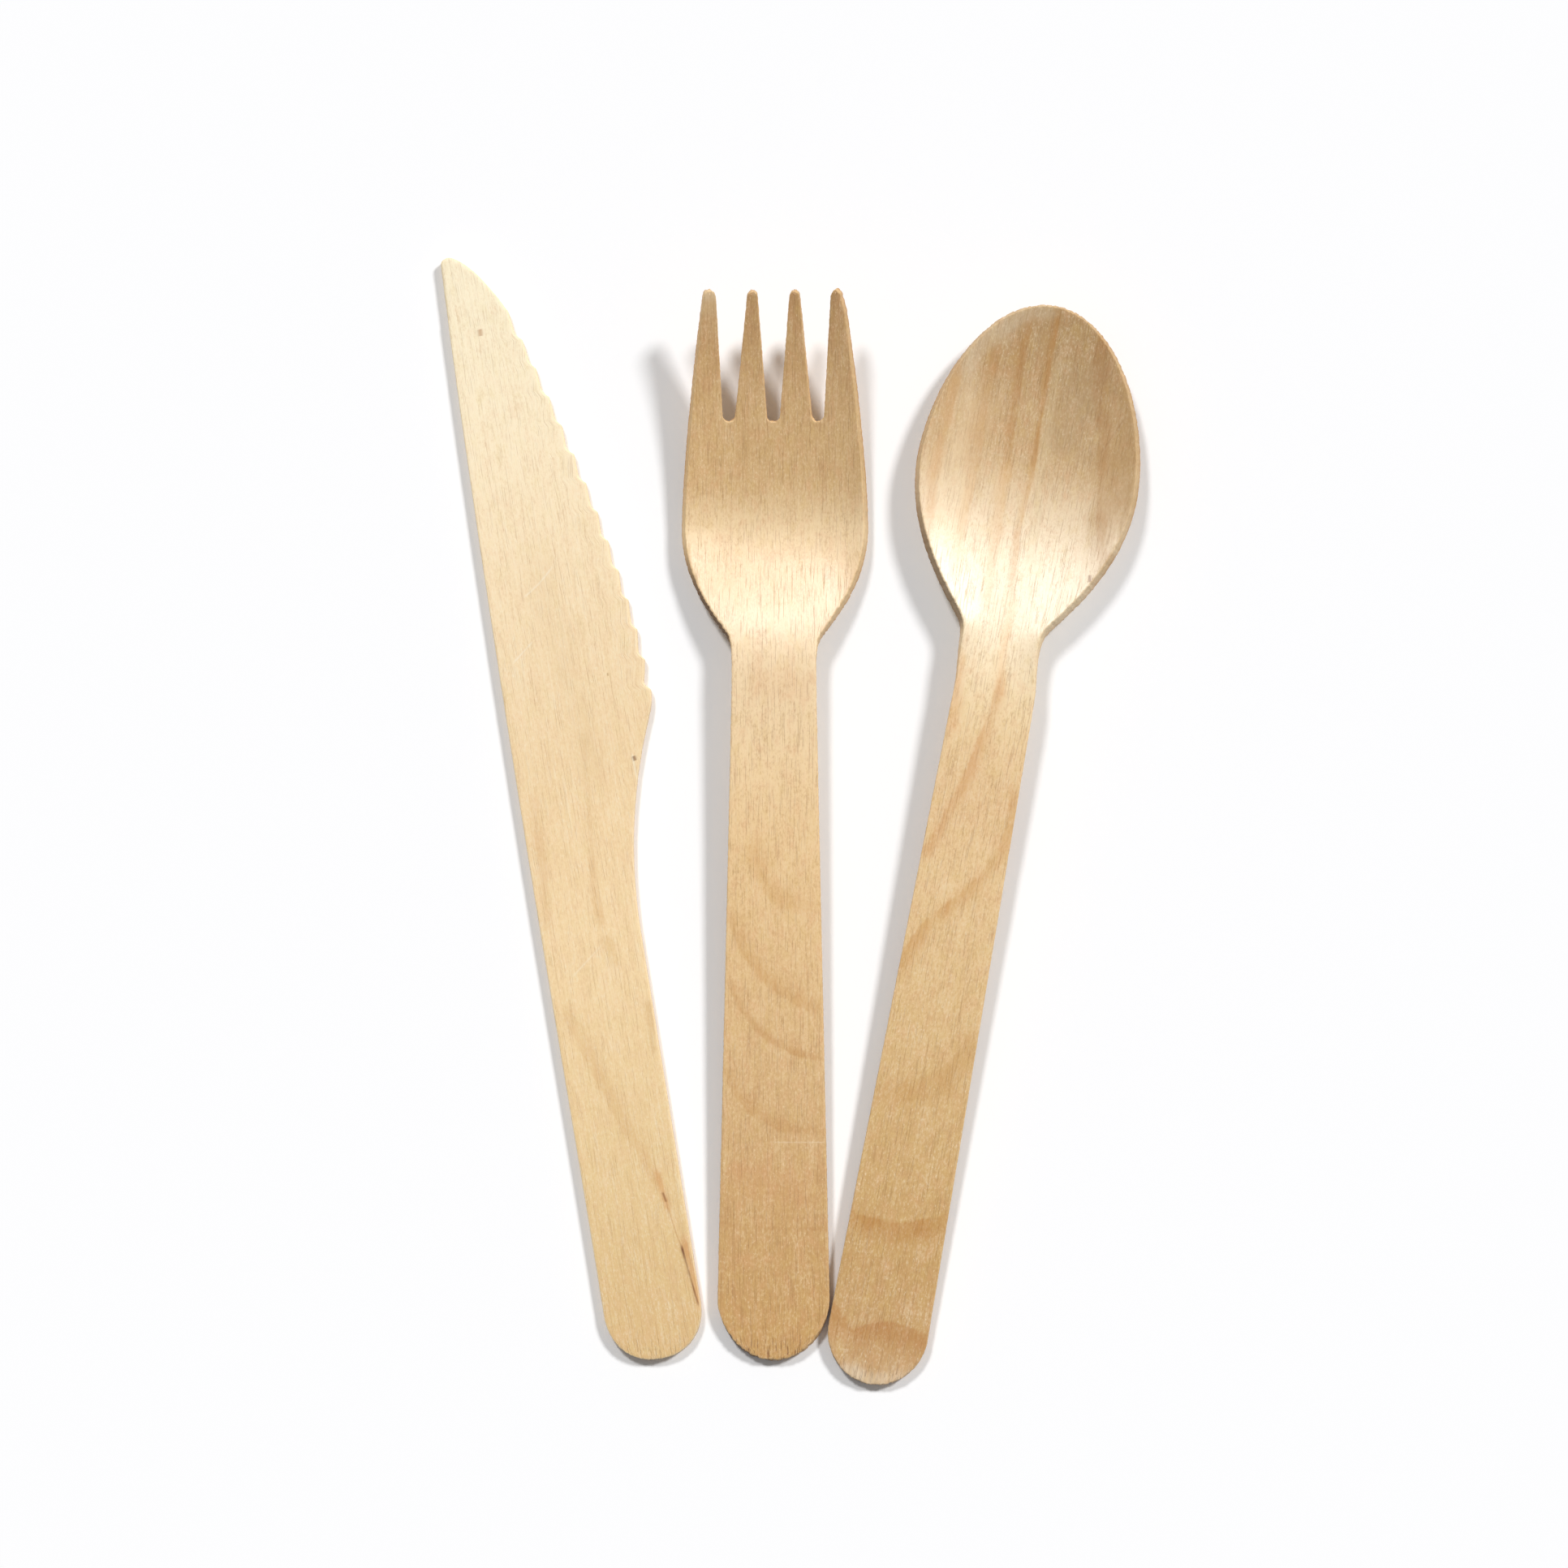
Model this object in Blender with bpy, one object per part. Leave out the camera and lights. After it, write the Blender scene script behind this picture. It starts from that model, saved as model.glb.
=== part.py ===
"""Disposable wooden cutlery set: a knife, a fork and a spoon, laid side by side.

Each piece is one sheet of birch veneer. A die cuts its flat outline, and a hot
press then bends the heads of the fork and the spoon. The knife stays flat.
Every piece is drawn in its own frame: the middle of the handle's end is the
origin, +Y runs to the tip, +X to the right, and the underside of the handle
lies on Z = 0. Lengths are in metres.
"""

import bpy
import bmesh
from math import atan, cos, pi, radians, sin, sqrt, tan
from mathutils import Vector

# The sheet, shared by all three pieces
SHEET = 0.0016                  # thickness of the veneer
SOFT_EDGE = 0.0002              # how far the tumbled edges are worn back
END_CELLS = 16                  # straight sides that make a round handle end

# Knife
KNIFE_LENGTH = 0.1650
KNIFE_HANDLE_WIDTH = 0.0142
KNIFE_END_LENGTH = 0.0076       # length of the rounded handle end
KNIFE_END_FULLNESS = 2.2        # 2 is an ellipse, more is squarer
BLADE_LENGTH = 0.0702           # from the heel, the widest point, to the tip
HEEL_REACH = 0.01422            # from the middle line of the handle to the heel
HEEL_ROUND = 0.0018
NOTCH_LENGTH = 0.0328           # finger notch between the straight handle and the heel
NOTCH_SLOPE = 0.42              # steepness of the notch where it meets the heel
SPINE_BULGE = 0.0004            # how far the back bows out beside the notch
SPINE_TIP_SLOPE = 0.030         # how the back leans in where it meets the tip
TIP_LENGTH = 0.0095             # the tip's curve, beyond the last tooth
TIP_START_REACH = 0.0024        # from the middle line to the last tooth
TIP_SPINE_OFFSET = 0.0065       # from the middle line to the back at the tip
TIP_ROUND = 0.0013
TIP_CURVE = 1.6                 # 2 is a parabola, less is straighter
TOOTH_COUNT = 13
TOOTH_DEPTH = 0.00066           # at the heel
TOOTH_DEPTH_AT_TIP = 0.00036
TOOTH_LONG_FLANK = 0.62         # share of a tooth taken by its long flank
EDGE_STRAIGHT = 0.0032          # the edge runs straight this far beyond the heel
EDGE_FALL = 1.5                 # how it then curves in towards the tip

HEEL_PLACE = KNIFE_LENGTH - BLADE_LENGTH
NOTCH_START = HEEL_PLACE - NOTCH_LENGTH
EDGE_BEND = HEEL_PLACE + EDGE_STRAIGHT
TIP_START = KNIFE_LENGTH - TIP_LENGTH

# Fork
FORK_LENGTH = 0.1560
FORK_END_WIDTH = 0.0163         # handle width where the round end begins
FORK_NECK_WIDTH = 0.0122
FORK_END_LENGTH = 0.0092
FORK_HEAD_WIDTH = 0.0275
FORK_HEAD_LENGTH = 0.0345       # from the widest point to the tips of the tines
FORK_SHOULDER_REACH = 0.0171    # from the widest point back to the neck
FORK_SHOULDER_FALL = 2.05       # how the shoulders curve in towards the neck
FORK_NECK_RUN = 0.0034          # length of the corner between handle and shoulder
FORK_TIP_WIDTH = 0.0205         # width over the outer tines at their tips
FORK_SIDE_FALL = 1.53           # how the sides curve in towards the tips
NECK_FILLET = 0.0012            # softness of the corner between neck and head
SLOT_COUNT = 3
SLOT_DEPTH = 0.0186
SLOT_ROOT_WIDTH = 0.0017
SLOT_TIP_WIDTH = 0.0047
SLOT_ROOT_PITCH = 0.00667
SLOT_TIP_PITCH = 0.0062
SLOT_SHIFT = -0.0002            # the roots sit this far off the middle line
TINE_TIP_ROUND = 0.0010
FORK_PRESS_LEAD = 0.0035        # the press begins to bend the handle before its neck
FORK_DROP = 0.0046              # depth of the head below the handle's plane
FORK_LIFT = 0.0077              # rise of the tine tips above the head's bottom
FORK_LIFT_LEAD = 0.0040         # the rise begins before the widest point
FORK_LIFT_CURVE = 1.75
FORK_DISH = 0.0019              # rise of the head's sides above its middle
FORK_DISH_CURVE = 3.0

FORK_HEAD_WIDEST = FORK_LENGTH - FORK_HEAD_LENGTH
FORK_NECK = FORK_HEAD_WIDEST - FORK_SHOULDER_REACH - FORK_NECK_RUN
FORK_PRESS_START = FORK_NECK - FORK_PRESS_LEAD
FORK_LIFT_START = FORK_HEAD_WIDEST - FORK_LIFT_LEAD
SLOT_ROOT = FORK_LENGTH - SLOT_DEPTH

# Spoon
SPOON_LENGTH = 0.1597
SPOON_END_WIDTH = 0.0146
SPOON_NECK_WIDTH = 0.0117
SPOON_END_LENGTH = 0.0077
BOWL_WIDTH = 0.0329
BOWL_TIP_LENGTH = 0.0254        # from the widest point to the tip
BOWL_TIP_FULLNESS = 1.79        # 2 is an ellipse, less is more pointed
BOWL_SHOULDER_REACH = 0.0233
BOWL_SHOULDER_FALL = 2.04
SPOON_NECK_RUN = 0.0015
SPOON_PRESS_LEAD = 0.0085
BOWL_DROP = 0.0048              # depth of the bowl below the handle's plane
BOWL_RIM_DROP = 0.0014          # how far the rim sinks towards the tip
BOWL_TURN = radians(1.0)        # the bowl points this much to the left
BOWL_TURN_LEAD = 0.0295         # its middle line leaves the handle's before the neck
BOWL_TURN_RUN = 0.0080          # length over which the neck takes up the turn
BOWL_CORNER_SHARE = 0.66        # where the bowl's side hands over to its tip

BOWL_WIDEST = SPOON_LENGTH - BOWL_TIP_LENGTH
SPOON_NECK = BOWL_WIDEST - BOWL_SHOULDER_REACH - SPOON_NECK_RUN
SPOON_PRESS_START = SPOON_NECK - SPOON_PRESS_LEAD
BOWL_TURN_PIVOT = SPOON_NECK - BOWL_TURN_LEAD
BOWL_CORNER = BOWL_WIDEST + BOWL_CORNER_SHARE * BOWL_TIP_LENGTH

# How the pieces lie
KNIFE_LEAN = radians(9.33)      # the knife's tip points to the left
FORK_LEAN = radians(-0.10)
SPOON_LEAN = radians(-10.50)    # the spoon's bowl points to the right
KNIFE_END_AHEAD = 0.00024       # handle ends, along +Y from the fork's end
SPOON_END_AHEAD = -0.0033
SPOON_GAP = 0.0003              # clearance where the spoon touches the fork
KNIFE_GAP = 0.0025              # clearance between the knife and the fork

# Colours of the three veneers
KNIFE_COLOUR = (0.78, 0.60, 0.38, 1.0)
FORK_COLOUR = (0.68, 0.47, 0.26, 1.0)
SPOON_COLOUR = (0.66, 0.48, 0.29, 1.0)
WOOD_ROUGHNESS = 0.55
SHARP_ANGLE = radians(30.0)     # corners sharper than this are shaded as edges

# Rows and columns of the pressed sheets
FORK_SHOULDER_ROWS = 17
TINE_ROWS = 9
TINE_CELLS = 4
SLOT_CELLS = 6
BOWL_REAR_ROWS = 17
BOWL_FRONT_ROWS = 9
BOWL_CELLS = 18
TOOTH_STATIONS = (0.0, 0.12, 0.26, 0.38, 0.50, 0.75, 0.92)
NOTCH_CELLS = 9
CORNER_CELLS = 4
TIP_CELLS = 8
SPINE_CELLS = 6


def ramp(t):
    """Rise smoothly from 0 to 1, with no kink at either end."""
    t = min(max(t, 0.0), 1.0)
    return t * t * t * (t * (6.0 * t - 15.0) + 10.0)


def soft_max(a, b, softness):
    """The larger of two widths, with the corner between them rounded."""
    return 0.5 * (a + b + sqrt((a - b) ** 2 + softness ** 2))


def spread(start, end, count):
    """Evenly spaced values, both ends included."""
    return [start + (end - start) * i / count for i in range(count + 1)]


def round_end(half_width, length, fullness, cells):
    """Right half of a rounded handle end, from the middle line outwards."""
    points = []
    for i in range(cells // 2 + 1):
        angle = 0.5 * pi * i / (cells // 2)
        x = half_width * sin(angle) ** (2.0 / fullness)
        y = length * (1.0 - cos(angle) ** (2.0 / fullness))
        points.append((x, y))
    return points


def hermite(start, end, start_slope, end_slope, cells):
    """Curve x(y) between two points with the given slopes at its ends."""
    (x0, y0), (x1, y1) = start, end
    run = y1 - y0
    points = []
    for t in spread(0.0, 1.0, cells):
        a = 2 * t ** 3 - 3 * t ** 2 + 1
        b = t ** 3 - 2 * t ** 2 + t
        c = 3 * t ** 2 - 2 * t ** 3
        d = t ** 3 - t ** 2
        x = a * x0 + b * run * start_slope + c * x1 + d * run * end_slope
        points.append((x, y0 + run * t))
    return points


def rounded_corner(start, corner, end):
    """Arc-like curve that cuts a corner short."""
    points = []
    for t in spread(0.0, 1.0, CORNER_CELLS):
        r = 1.0 - t
        points.append(tuple(r * r * start[i] + 2 * r * t * corner[i] + t * t * end[i] for i in range(2)))
    return points


def handle_half_width(y, end_width, neck_width, end_length, neck):
    """Straight taper of a handle from its round end to its neck."""
    share = (y - end_length) / (neck - end_length)
    return 0.5 * (end_width + (neck_width - end_width) * share)


# Knife

def edge_line(y):
    """Line that the points of the teeth touch, as a distance from the middle line."""
    run = max(y - EDGE_BEND, 0.0) / (TIP_START - EDGE_BEND)
    return HEEL_REACH - (HEEL_REACH - TIP_START_REACH) * run ** EDGE_FALL


def toothed_edge():
    """Saw edge from the heel to the tip: long flanks along the grain, short ones across it."""
    first = HEEL_PLACE + HEEL_ROUND
    pitch = (TIP_START - first) / TOOTH_COUNT
    points = []
    for tooth in range(TOOTH_COUNT):
        depth = TOOTH_DEPTH + (TOOTH_DEPTH_AT_TIP - TOOTH_DEPTH) * tooth / (TOOTH_COUNT - 1)
        for station in TOOTH_STATIONS:
            short = 1.0 - TOOTH_LONG_FLANK
            if station < short:
                cut = ramp(station / short)
            else:
                cut = 1.0 - (station - short) / TOOTH_LONG_FLANK
            y = first + pitch * (tooth + station)
            points.append((edge_line(y) - depth * cut, y))
    points.append((TIP_START_REACH, TIP_START))
    return points


def knife_outline():
    """Outline of the knife, anticlockwise from the middle of the handle's end."""
    half = 0.5 * KNIFE_HANDLE_WIDTH
    end = round_end(half, KNIFE_END_LENGTH, KNIFE_END_FULLNESS, END_CELLS)
    heel = (HEEL_REACH - HEEL_ROUND * NOTCH_SLOPE, HEEL_PLACE - HEEL_ROUND)
    notch = hermite((half, NOTCH_START), heel, 0.0, NOTCH_SLOPE, NOTCH_CELLS)
    heel_arc = rounded_corner(heel, (HEEL_REACH, HEEL_PLACE), (HEEL_REACH, HEEL_PLACE + HEEL_ROUND))
    corner = (-TIP_SPINE_OFFSET, KNIFE_LENGTH)
    tip_top = (corner[0] + TIP_ROUND, KNIFE_LENGTH)
    tip = []
    for t in spread(0.0, 1.0, TIP_CELLS):
        x = TIP_START_REACH + (tip_top[0] - TIP_START_REACH) * t
        tip.append((x, TIP_START + (KNIFE_LENGTH - TIP_START) * (1.0 - (1.0 - t) ** TIP_CURVE)))
    tip_arc = rounded_corner(tip_top, corner, (corner[0], KNIFE_LENGTH - TIP_ROUND))
    belly = 0.5 * (NOTCH_START + HEEL_PLACE)
    spine_top = hermite((-half - SPINE_BULGE, belly), tip_arc[-1], 0.0, SPINE_TIP_SLOPE, SPINE_CELLS)
    spine_low = hermite((-half, KNIFE_END_LENGTH), spine_top[0], 0.0, 0.0, SPINE_CELLS)
    right = end + notch + heel_arc[1:-1] + toothed_edge() + tip[1:] + tip_arc[1:]
    left = spine_top[-2::-1] + spine_low[-2::-1]
    left_end = [(-x, y) for x, y in end[-2:0:-1]]
    return right + left + left_end


# Fork

def fork_half_width(y):
    """Half of the fork's width beyond its round end, tines and slots taken together."""
    handle = handle_half_width(y, FORK_END_WIDTH, FORK_NECK_WIDTH, FORK_END_LENGTH, FORK_NECK)
    widest = 0.5 * FORK_HEAD_WIDTH
    if y <= FORK_HEAD_WIDEST:
        run = (FORK_HEAD_WIDEST - y) / FORK_SHOULDER_REACH
        head = widest - (widest - 0.5 * FORK_NECK_WIDTH) * run ** FORK_SHOULDER_FALL
        return soft_max(handle, head, NECK_FILLET)
    run = (y - FORK_HEAD_WIDEST) / (FORK_LENGTH - FORK_HEAD_WIDEST)
    return widest - 0.5 * (FORK_HEAD_WIDTH - FORK_TIP_WIDTH) * run ** FORK_SIDE_FALL


def slot_sides(y):
    """Left and right side of every slot at y, from the left."""
    run = (y - SLOT_ROOT) / (FORK_LENGTH - SLOT_ROOT)
    width = SLOT_ROOT_WIDTH + (SLOT_TIP_WIDTH - SLOT_ROOT_WIDTH) * run
    pitch = SLOT_ROOT_PITCH + (SLOT_TIP_PITCH - SLOT_ROOT_PITCH) * run
    middle = SLOT_SHIFT * (1.0 - run)
    sides = []
    for slot in range(SLOT_COUNT):
        centre = middle + (slot - 0.5 * (SLOT_COUNT - 1)) * pitch
        sides.append((centre - 0.5 * width, centre + 0.5 * width))
    return sides


def fork_press(x, y):
    """Height of the pressed fork's underside above the plane of its handle."""
    drop = FORK_DROP * ramp((y - FORK_PRESS_START) / (FORK_HEAD_WIDEST - FORK_PRESS_START))
    run = max(y - FORK_LIFT_START, 0.0) / (FORK_LENGTH - FORK_LIFT_START)
    lift = FORK_LIFT * run ** FORK_LIFT_CURVE
    side = min(abs(x) / (0.5 * FORK_HEAD_WIDTH), 1.0)
    dish = FORK_DISH * ramp((y - FORK_NECK) / (FORK_HEAD_WIDEST - FORK_NECK))
    return lift - drop + dish * side ** FORK_DISH_CURVE


def fork_sheet():
    """Flat fork blank as rows of (x, y) points and the cells between them."""
    sheet = Sheet()
    root_centre = SLOT_ROOT + 0.5 * SLOT_ROOT_WIDTH
    root_half = fork_half_width(root_centre)
    bounds = [-root_half]
    for left, right in slot_sides(root_centre):
        bounds += [left, right]
    bounds.append(root_half)
    columns = []
    for i in range(len(bounds) - 1):
        if i % 2:
            centre = 0.5 * (bounds[i] + bounds[i + 1])
            radius = 0.5 * (bounds[i + 1] - bounds[i])
            columns += [centre - radius * cos(pi * k / SLOT_CELLS) for k in range(SLOT_CELLS)]
        else:
            columns += spread(bounds[i], bounds[i + 1], TINE_CELLS)[:-1]
    columns.append(bounds[-1])
    shares = [x / root_half for x in columns]

    # handle and shoulders: every row runs straight across
    rows = []
    last_straight = SLOT_ROOT - SLOT_ROOT_WIDTH
    for y in spread(FORK_PRESS_START, last_straight, FORK_SHOULDER_ROWS):
        half = fork_half_width(y)
        rows.append(sheet.row([(half * share, y) for share in shares]))

    # the row that ends the slots dips round their roots
    across = TINE_CELLS + SLOT_CELLS
    root_row = []
    for i, x in enumerate(columns):
        k = i % across - TINE_CELLS
        dip = 0.5 * SLOT_ROOT_WIDTH * sin(pi * k / SLOT_CELLS) if k > 0 else 0.0
        root_row.append((x, root_centre - dip))
    rows.append(sheet.row(root_row))
    sheet.cells(rows)
    sheet.handle(rows[0], FORK_END_WIDTH, FORK_END_LENGTH)

    # tines: each one a strip of its own that ends in a rounded tip
    for tine in range(SLOT_COUNT + 1):
        first = tine * across
        strip = [rows[-1][first:first + TINE_CELLS + 1]]
        for y in spread(root_centre, FORK_LENGTH - TINE_TIP_ROUND, TINE_ROWS)[1:]:
            left, right = tine_sides(tine, y)
            strip.append(sheet.row([(x, y) for x in spread(left, right, TINE_CELLS)]))
        left, right = tine_sides(tine, FORK_LENGTH - TINE_TIP_ROUND)
        tip = []
        for k in range(TINE_CELLS + 1):
            angle = pi * (k + 1) / (TINE_CELLS + 2)
            x = 0.5 * (left + right) - 0.5 * (right - left) * cos(angle)
            tip.append((x, FORK_LENGTH - TINE_TIP_ROUND * (1.0 - sin(angle))))
        strip.append(sheet.row(tip))
        sheet.cells(strip)
    return sheet


def tine_sides(tine, y):
    """Left and right side of one tine at y."""
    sides = slot_sides(y)
    half = fork_half_width(y)
    left = sides[tine - 1][1] if tine else -half
    right = sides[tine][0] if tine < SLOT_COUNT else half
    return left, right


# Spoon

def spoon_half_width(y):
    """Half of the spoon's width beyond its round end."""
    handle = handle_half_width(y, SPOON_END_WIDTH, SPOON_NECK_WIDTH, SPOON_END_LENGTH, SPOON_NECK)
    widest = 0.5 * BOWL_WIDTH
    if y <= BOWL_WIDEST:
        run = (BOWL_WIDEST - y) / BOWL_SHOULDER_REACH
        bowl = widest - (widest - 0.5 * SPOON_NECK_WIDTH) * run ** BOWL_SHOULDER_FALL
        return soft_max(handle, bowl, NECK_FILLET)
    run = min((y - BOWL_WIDEST) / (SPOON_LENGTH - BOWL_WIDEST), 1.0)
    return widest * sqrt(1.0 - run ** BOWL_TIP_FULLNESS)


def bowl_drift(y):
    """Sideways shift of the bowl's middle line, which turns the bowl a little."""
    return -tan(BOWL_TURN) * (y - BOWL_TURN_PIVOT) * ramp((y - SPOON_PRESS_START) / BOWL_TURN_RUN)


def spoon_press(x, y):
    """Height of the pressed spoon's underside above the plane of its handle."""
    widest = 0.5 * BOWL_WIDTH
    off_middle = x - bowl_drift(y)
    rim = -BOWL_RIM_DROP * ramp((y - SPOON_PRESS_START) / (SPOON_LENGTH - SPOON_PRESS_START))
    if y <= BOWL_WIDEST:
        middle = -BOWL_DROP * ramp((y - SPOON_PRESS_START) / (BOWL_WIDEST - SPOON_PRESS_START))
        hollow = (off_middle / spoon_half_width(y)) ** 2
    else:
        middle = -BOWL_DROP
        run = (y - BOWL_WIDEST) / (SPOON_LENGTH - BOWL_WIDEST)
        hollow = (off_middle / widest) ** 2 + run ** 2
    return middle + (rim - middle) * hollow


def spoon_sheet():
    """Flat spoon blank: a plain handle, and a bowl whose last rows bend into its tip."""
    sheet = Sheet()
    shares = spread(-1.0, 1.0, BOWL_CELLS)
    rows = []
    for y in spread(SPOON_PRESS_START, BOWL_WIDEST, BOWL_REAR_ROWS):
        half = spoon_half_width(y)
        rows.append(sheet.row([(bowl_drift(y) + half * share, y) for share in shares]))

    length = SPOON_LENGTH - BOWL_WIDEST
    corner_half = spoon_half_width(BOWL_CORNER)
    for t in spread(0.0, 1.0, BOWL_FRONT_ROWS)[1:]:
        side_y = BOWL_WIDEST + (BOWL_CORNER - BOWL_WIDEST) * t
        half = spoon_half_width(side_y)
        row = []
        for share in shares:
            tip_share = 1.0 - (share * corner_half / (0.5 * BOWL_WIDTH)) ** 2
            tip_y = BOWL_WIDEST + length * tip_share ** (1.0 / BOWL_TIP_FULLNESS)
            y = side_y + t * t * (tip_y - BOWL_CORNER)
            row.append((bowl_drift(y) + half * share, y))
        rows.append(sheet.row(row))
    sheet.cells(rows)
    sheet.handle(rows[0], SPOON_END_WIDTH, SPOON_END_LENGTH)
    return sheet


# Sheets of veneer

class Sheet:
    """A flat blank: its points, the faces that join them, and its two long sides."""

    def __init__(self):
        self.points = []
        self.faces = []
        self.left_side = []
        self.right_side = []

    def row(self, points):
        """Add points and return their numbers."""
        first = len(self.points)
        self.points += points
        return list(range(first, len(self.points)))

    def cells(self, rows):
        """Join each row to the next with four-sided cells."""
        for low, high in zip(rows, rows[1:]):
            for a, b, c, d in zip(low, low[1:], high[1:], high):
                self.faces.append((a, b, c, d))
        self.left_side += [self.points[row[0]] for row in rows]
        self.right_side += [self.points[row[-1]] for row in rows]

    def handle(self, first_row, end_width, end_length):
        """Flat handle as one face, from its round end up to the first pressed row."""
        end = round_end(0.5 * end_width, end_length, 2.0, END_CELLS)
        left_end = [(-x, y) for x, y in end]
        right = self.row(end)
        left = self.row(left_end[:0:-1])
        self.faces.append(tuple(right + first_row[::-1] + left))
        self.left_side = left_end + self.left_side
        self.right_side = end + self.right_side


def knife_sheet():
    """Flat knife blank as one face."""
    sheet = Sheet()
    outline = knife_outline()
    sheet.faces.append(tuple(sheet.row(outline)))
    tip = max(range(len(outline)), key=lambda i: outline[i][1])
    sheet.right_side = outline[:tip + 1]
    sheet.left_side = outline[tip:][::-1]
    return sheet


def flat(x, y):
    """The knife isn't pressed."""
    return 0.0


def build_piece(name, sheet, height, colour):
    """Press a blank to shape, give it the veneer's thickness and soften its edges."""
    shape = bmesh.new()
    verts = [shape.verts.new((x, y, height(x, y))) for x, y in sheet.points]
    for face in sheet.faces:
        shape.faces.new([verts[i] for i in face])
    mesh = bpy.data.meshes.new(name)
    shape.to_mesh(mesh)
    shape.free()
    mesh.materials.append(wood(name + "_veneer", colour))
    piece = bpy.data.objects.new(name, mesh)
    bpy.context.collection.objects.link(piece)

    thickness = piece.modifiers.new("veneer", 'SOLIDIFY')
    thickness.thickness = SHEET
    thickness.offset = 1.0
    thickness.use_even_offset = True
    tumbled = piece.modifiers.new("tumbled edges", 'BEVEL')
    tumbled.width = SOFT_EDGE
    tumbled.segments = 1
    tumbled.limit_method = 'ANGLE'
    tumbled.angle_limit = radians(60.0)

    graph = bpy.context.evaluated_depsgraph_get()
    solid = bpy.data.meshes.new_from_object(piece.evaluated_get(graph))
    piece.modifiers.clear()
    piece.data = solid
    solid.shade_smooth()
    solid.set_sharp_from_angle(angle=SHARP_ANGLE)
    bpy.data.meshes.remove(mesh)
    solid.name = name
    return piece


def wood(name, colour):
    """Plain pale wood in one of the three veneers' colours."""
    material = bpy.data.materials.new(name)
    material.use_nodes = True
    surface = material.node_tree.nodes["Principled BSDF"]
    surface.inputs["Base Color"].default_value = colour
    surface.inputs["Roughness"].default_value = WOOD_ROUGHNESS
    surface.inputs["Metallic"].default_value = 0.0
    return material


# Laying the pieces out

def turned(points, lean, ahead):
    """Points of a side after its piece is turned by its lean and moved along Y."""
    return [(x * cos(lean) - y * sin(lean), x * sin(lean) + y * cos(lean) + ahead) for x, y in points]


def reach(side, level, pick):
    """Where a side crosses the line y = level, or None if it doesn't."""
    crossings = []
    for (x0, y0), (x1, y1) in zip(side, side[1:]):
        if y0 != y1 and min(y0, y1) <= level <= max(y0, y1):
            crossings.append(x0 + (x1 - x0) * (level - y0) / (y1 - y0))
    return pick(crossings) if crossings else None


def gap_between(left_piece_side, right_piece_side):
    """Smallest distance along X from one piece's right side to the next one's left side."""
    gaps = []
    for _, level in left_piece_side + right_piece_side:
        near = reach(left_piece_side, level, max)
        far = reach(right_piece_side, level, min)
        if near is not None and far is not None:
            gaps.append(far - near)
    return min(gaps)


def resting_tilt(sheet, press):
    """Tilt at which a pressed piece stands on its handle end and on its head."""
    return max(atan(-press(x, y) / y) for x, y in sheet.points if y > SHEET)


def centre_on_origin(pieces, holder):
    """Move the set so that the middle of its base is the origin."""
    bpy.context.view_layer.update()
    graph = bpy.context.evaluated_depsgraph_get()
    corners = []
    for piece in pieces:
        solid = piece.evaluated_get(graph)
        mesh = solid.to_mesh()
        corners += [solid.matrix_world @ v.co for v in mesh.vertices]
        solid.to_mesh_clear()
    low = Vector([min(c[i] for c in corners) for i in range(3)])
    high = Vector([max(c[i] for c in corners) for i in range(3)])
    holder.location = (-0.5 * (low.x + high.x), -0.5 * (low.y + high.y), -low.z)


def main():
    for old in list(bpy.data.objects):
        bpy.data.objects.remove(old)

    knife = knife_sheet()
    fork = fork_sheet()
    spoon = spoon_sheet()

    fork_left = turned(fork.left_side, FORK_LEAN, 0.0)
    fork_right = turned(fork.right_side, FORK_LEAN, 0.0)
    knife_right = turned(knife.right_side, KNIFE_LEAN, KNIFE_END_AHEAD)
    spoon_left = turned(spoon.left_side, SPOON_LEAN, SPOON_END_AHEAD)
    knife_x = gap_between(knife_right, fork_left) - KNIFE_GAP
    spoon_x = SPOON_GAP - gap_between(fork_right, spoon_left)

    layout = (
        ("knife", knife, flat, KNIFE_COLOUR, (knife_x, KNIFE_END_AHEAD), KNIFE_LEAN),
        ("fork", fork, fork_press, FORK_COLOUR, (0.0, 0.0), FORK_LEAN),
        ("spoon", spoon, spoon_press, SPOON_COLOUR, (spoon_x, SPOON_END_AHEAD), SPOON_LEAN),
    )
    cutlery_set = bpy.data.objects.new("cutlery_set", None)
    bpy.context.collection.objects.link(cutlery_set)
    pieces = []
    for name, sheet, press, colour, (x, y), lean in layout:
        piece = build_piece(name, sheet, press, colour)
        piece.parent = cutlery_set
        piece.location = (x, y, 0.0)
        piece.rotation_euler = (resting_tilt(sheet, press), 0.0, lean)
        pieces.append(piece)
    centre_on_origin(pieces, cutlery_set)


main()
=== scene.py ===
"""Looks of a disposable wooden cutlery set: a knife, a fork and a spoon side by side.

Each piece is drawn as its flat blank of birch veneer, with the middle of the
handle's end at the origin and +Y along the grain to the tip. It is then pressed,
worn and laid in its place. Lengths are in metres.
"""

from math import atan, cos, hypot, pi, radians, sin, sqrt, tan

import bpy
from mathutils import Matrix, Vector
from mathutils.geometry import delaunay_2d_cdt


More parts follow.
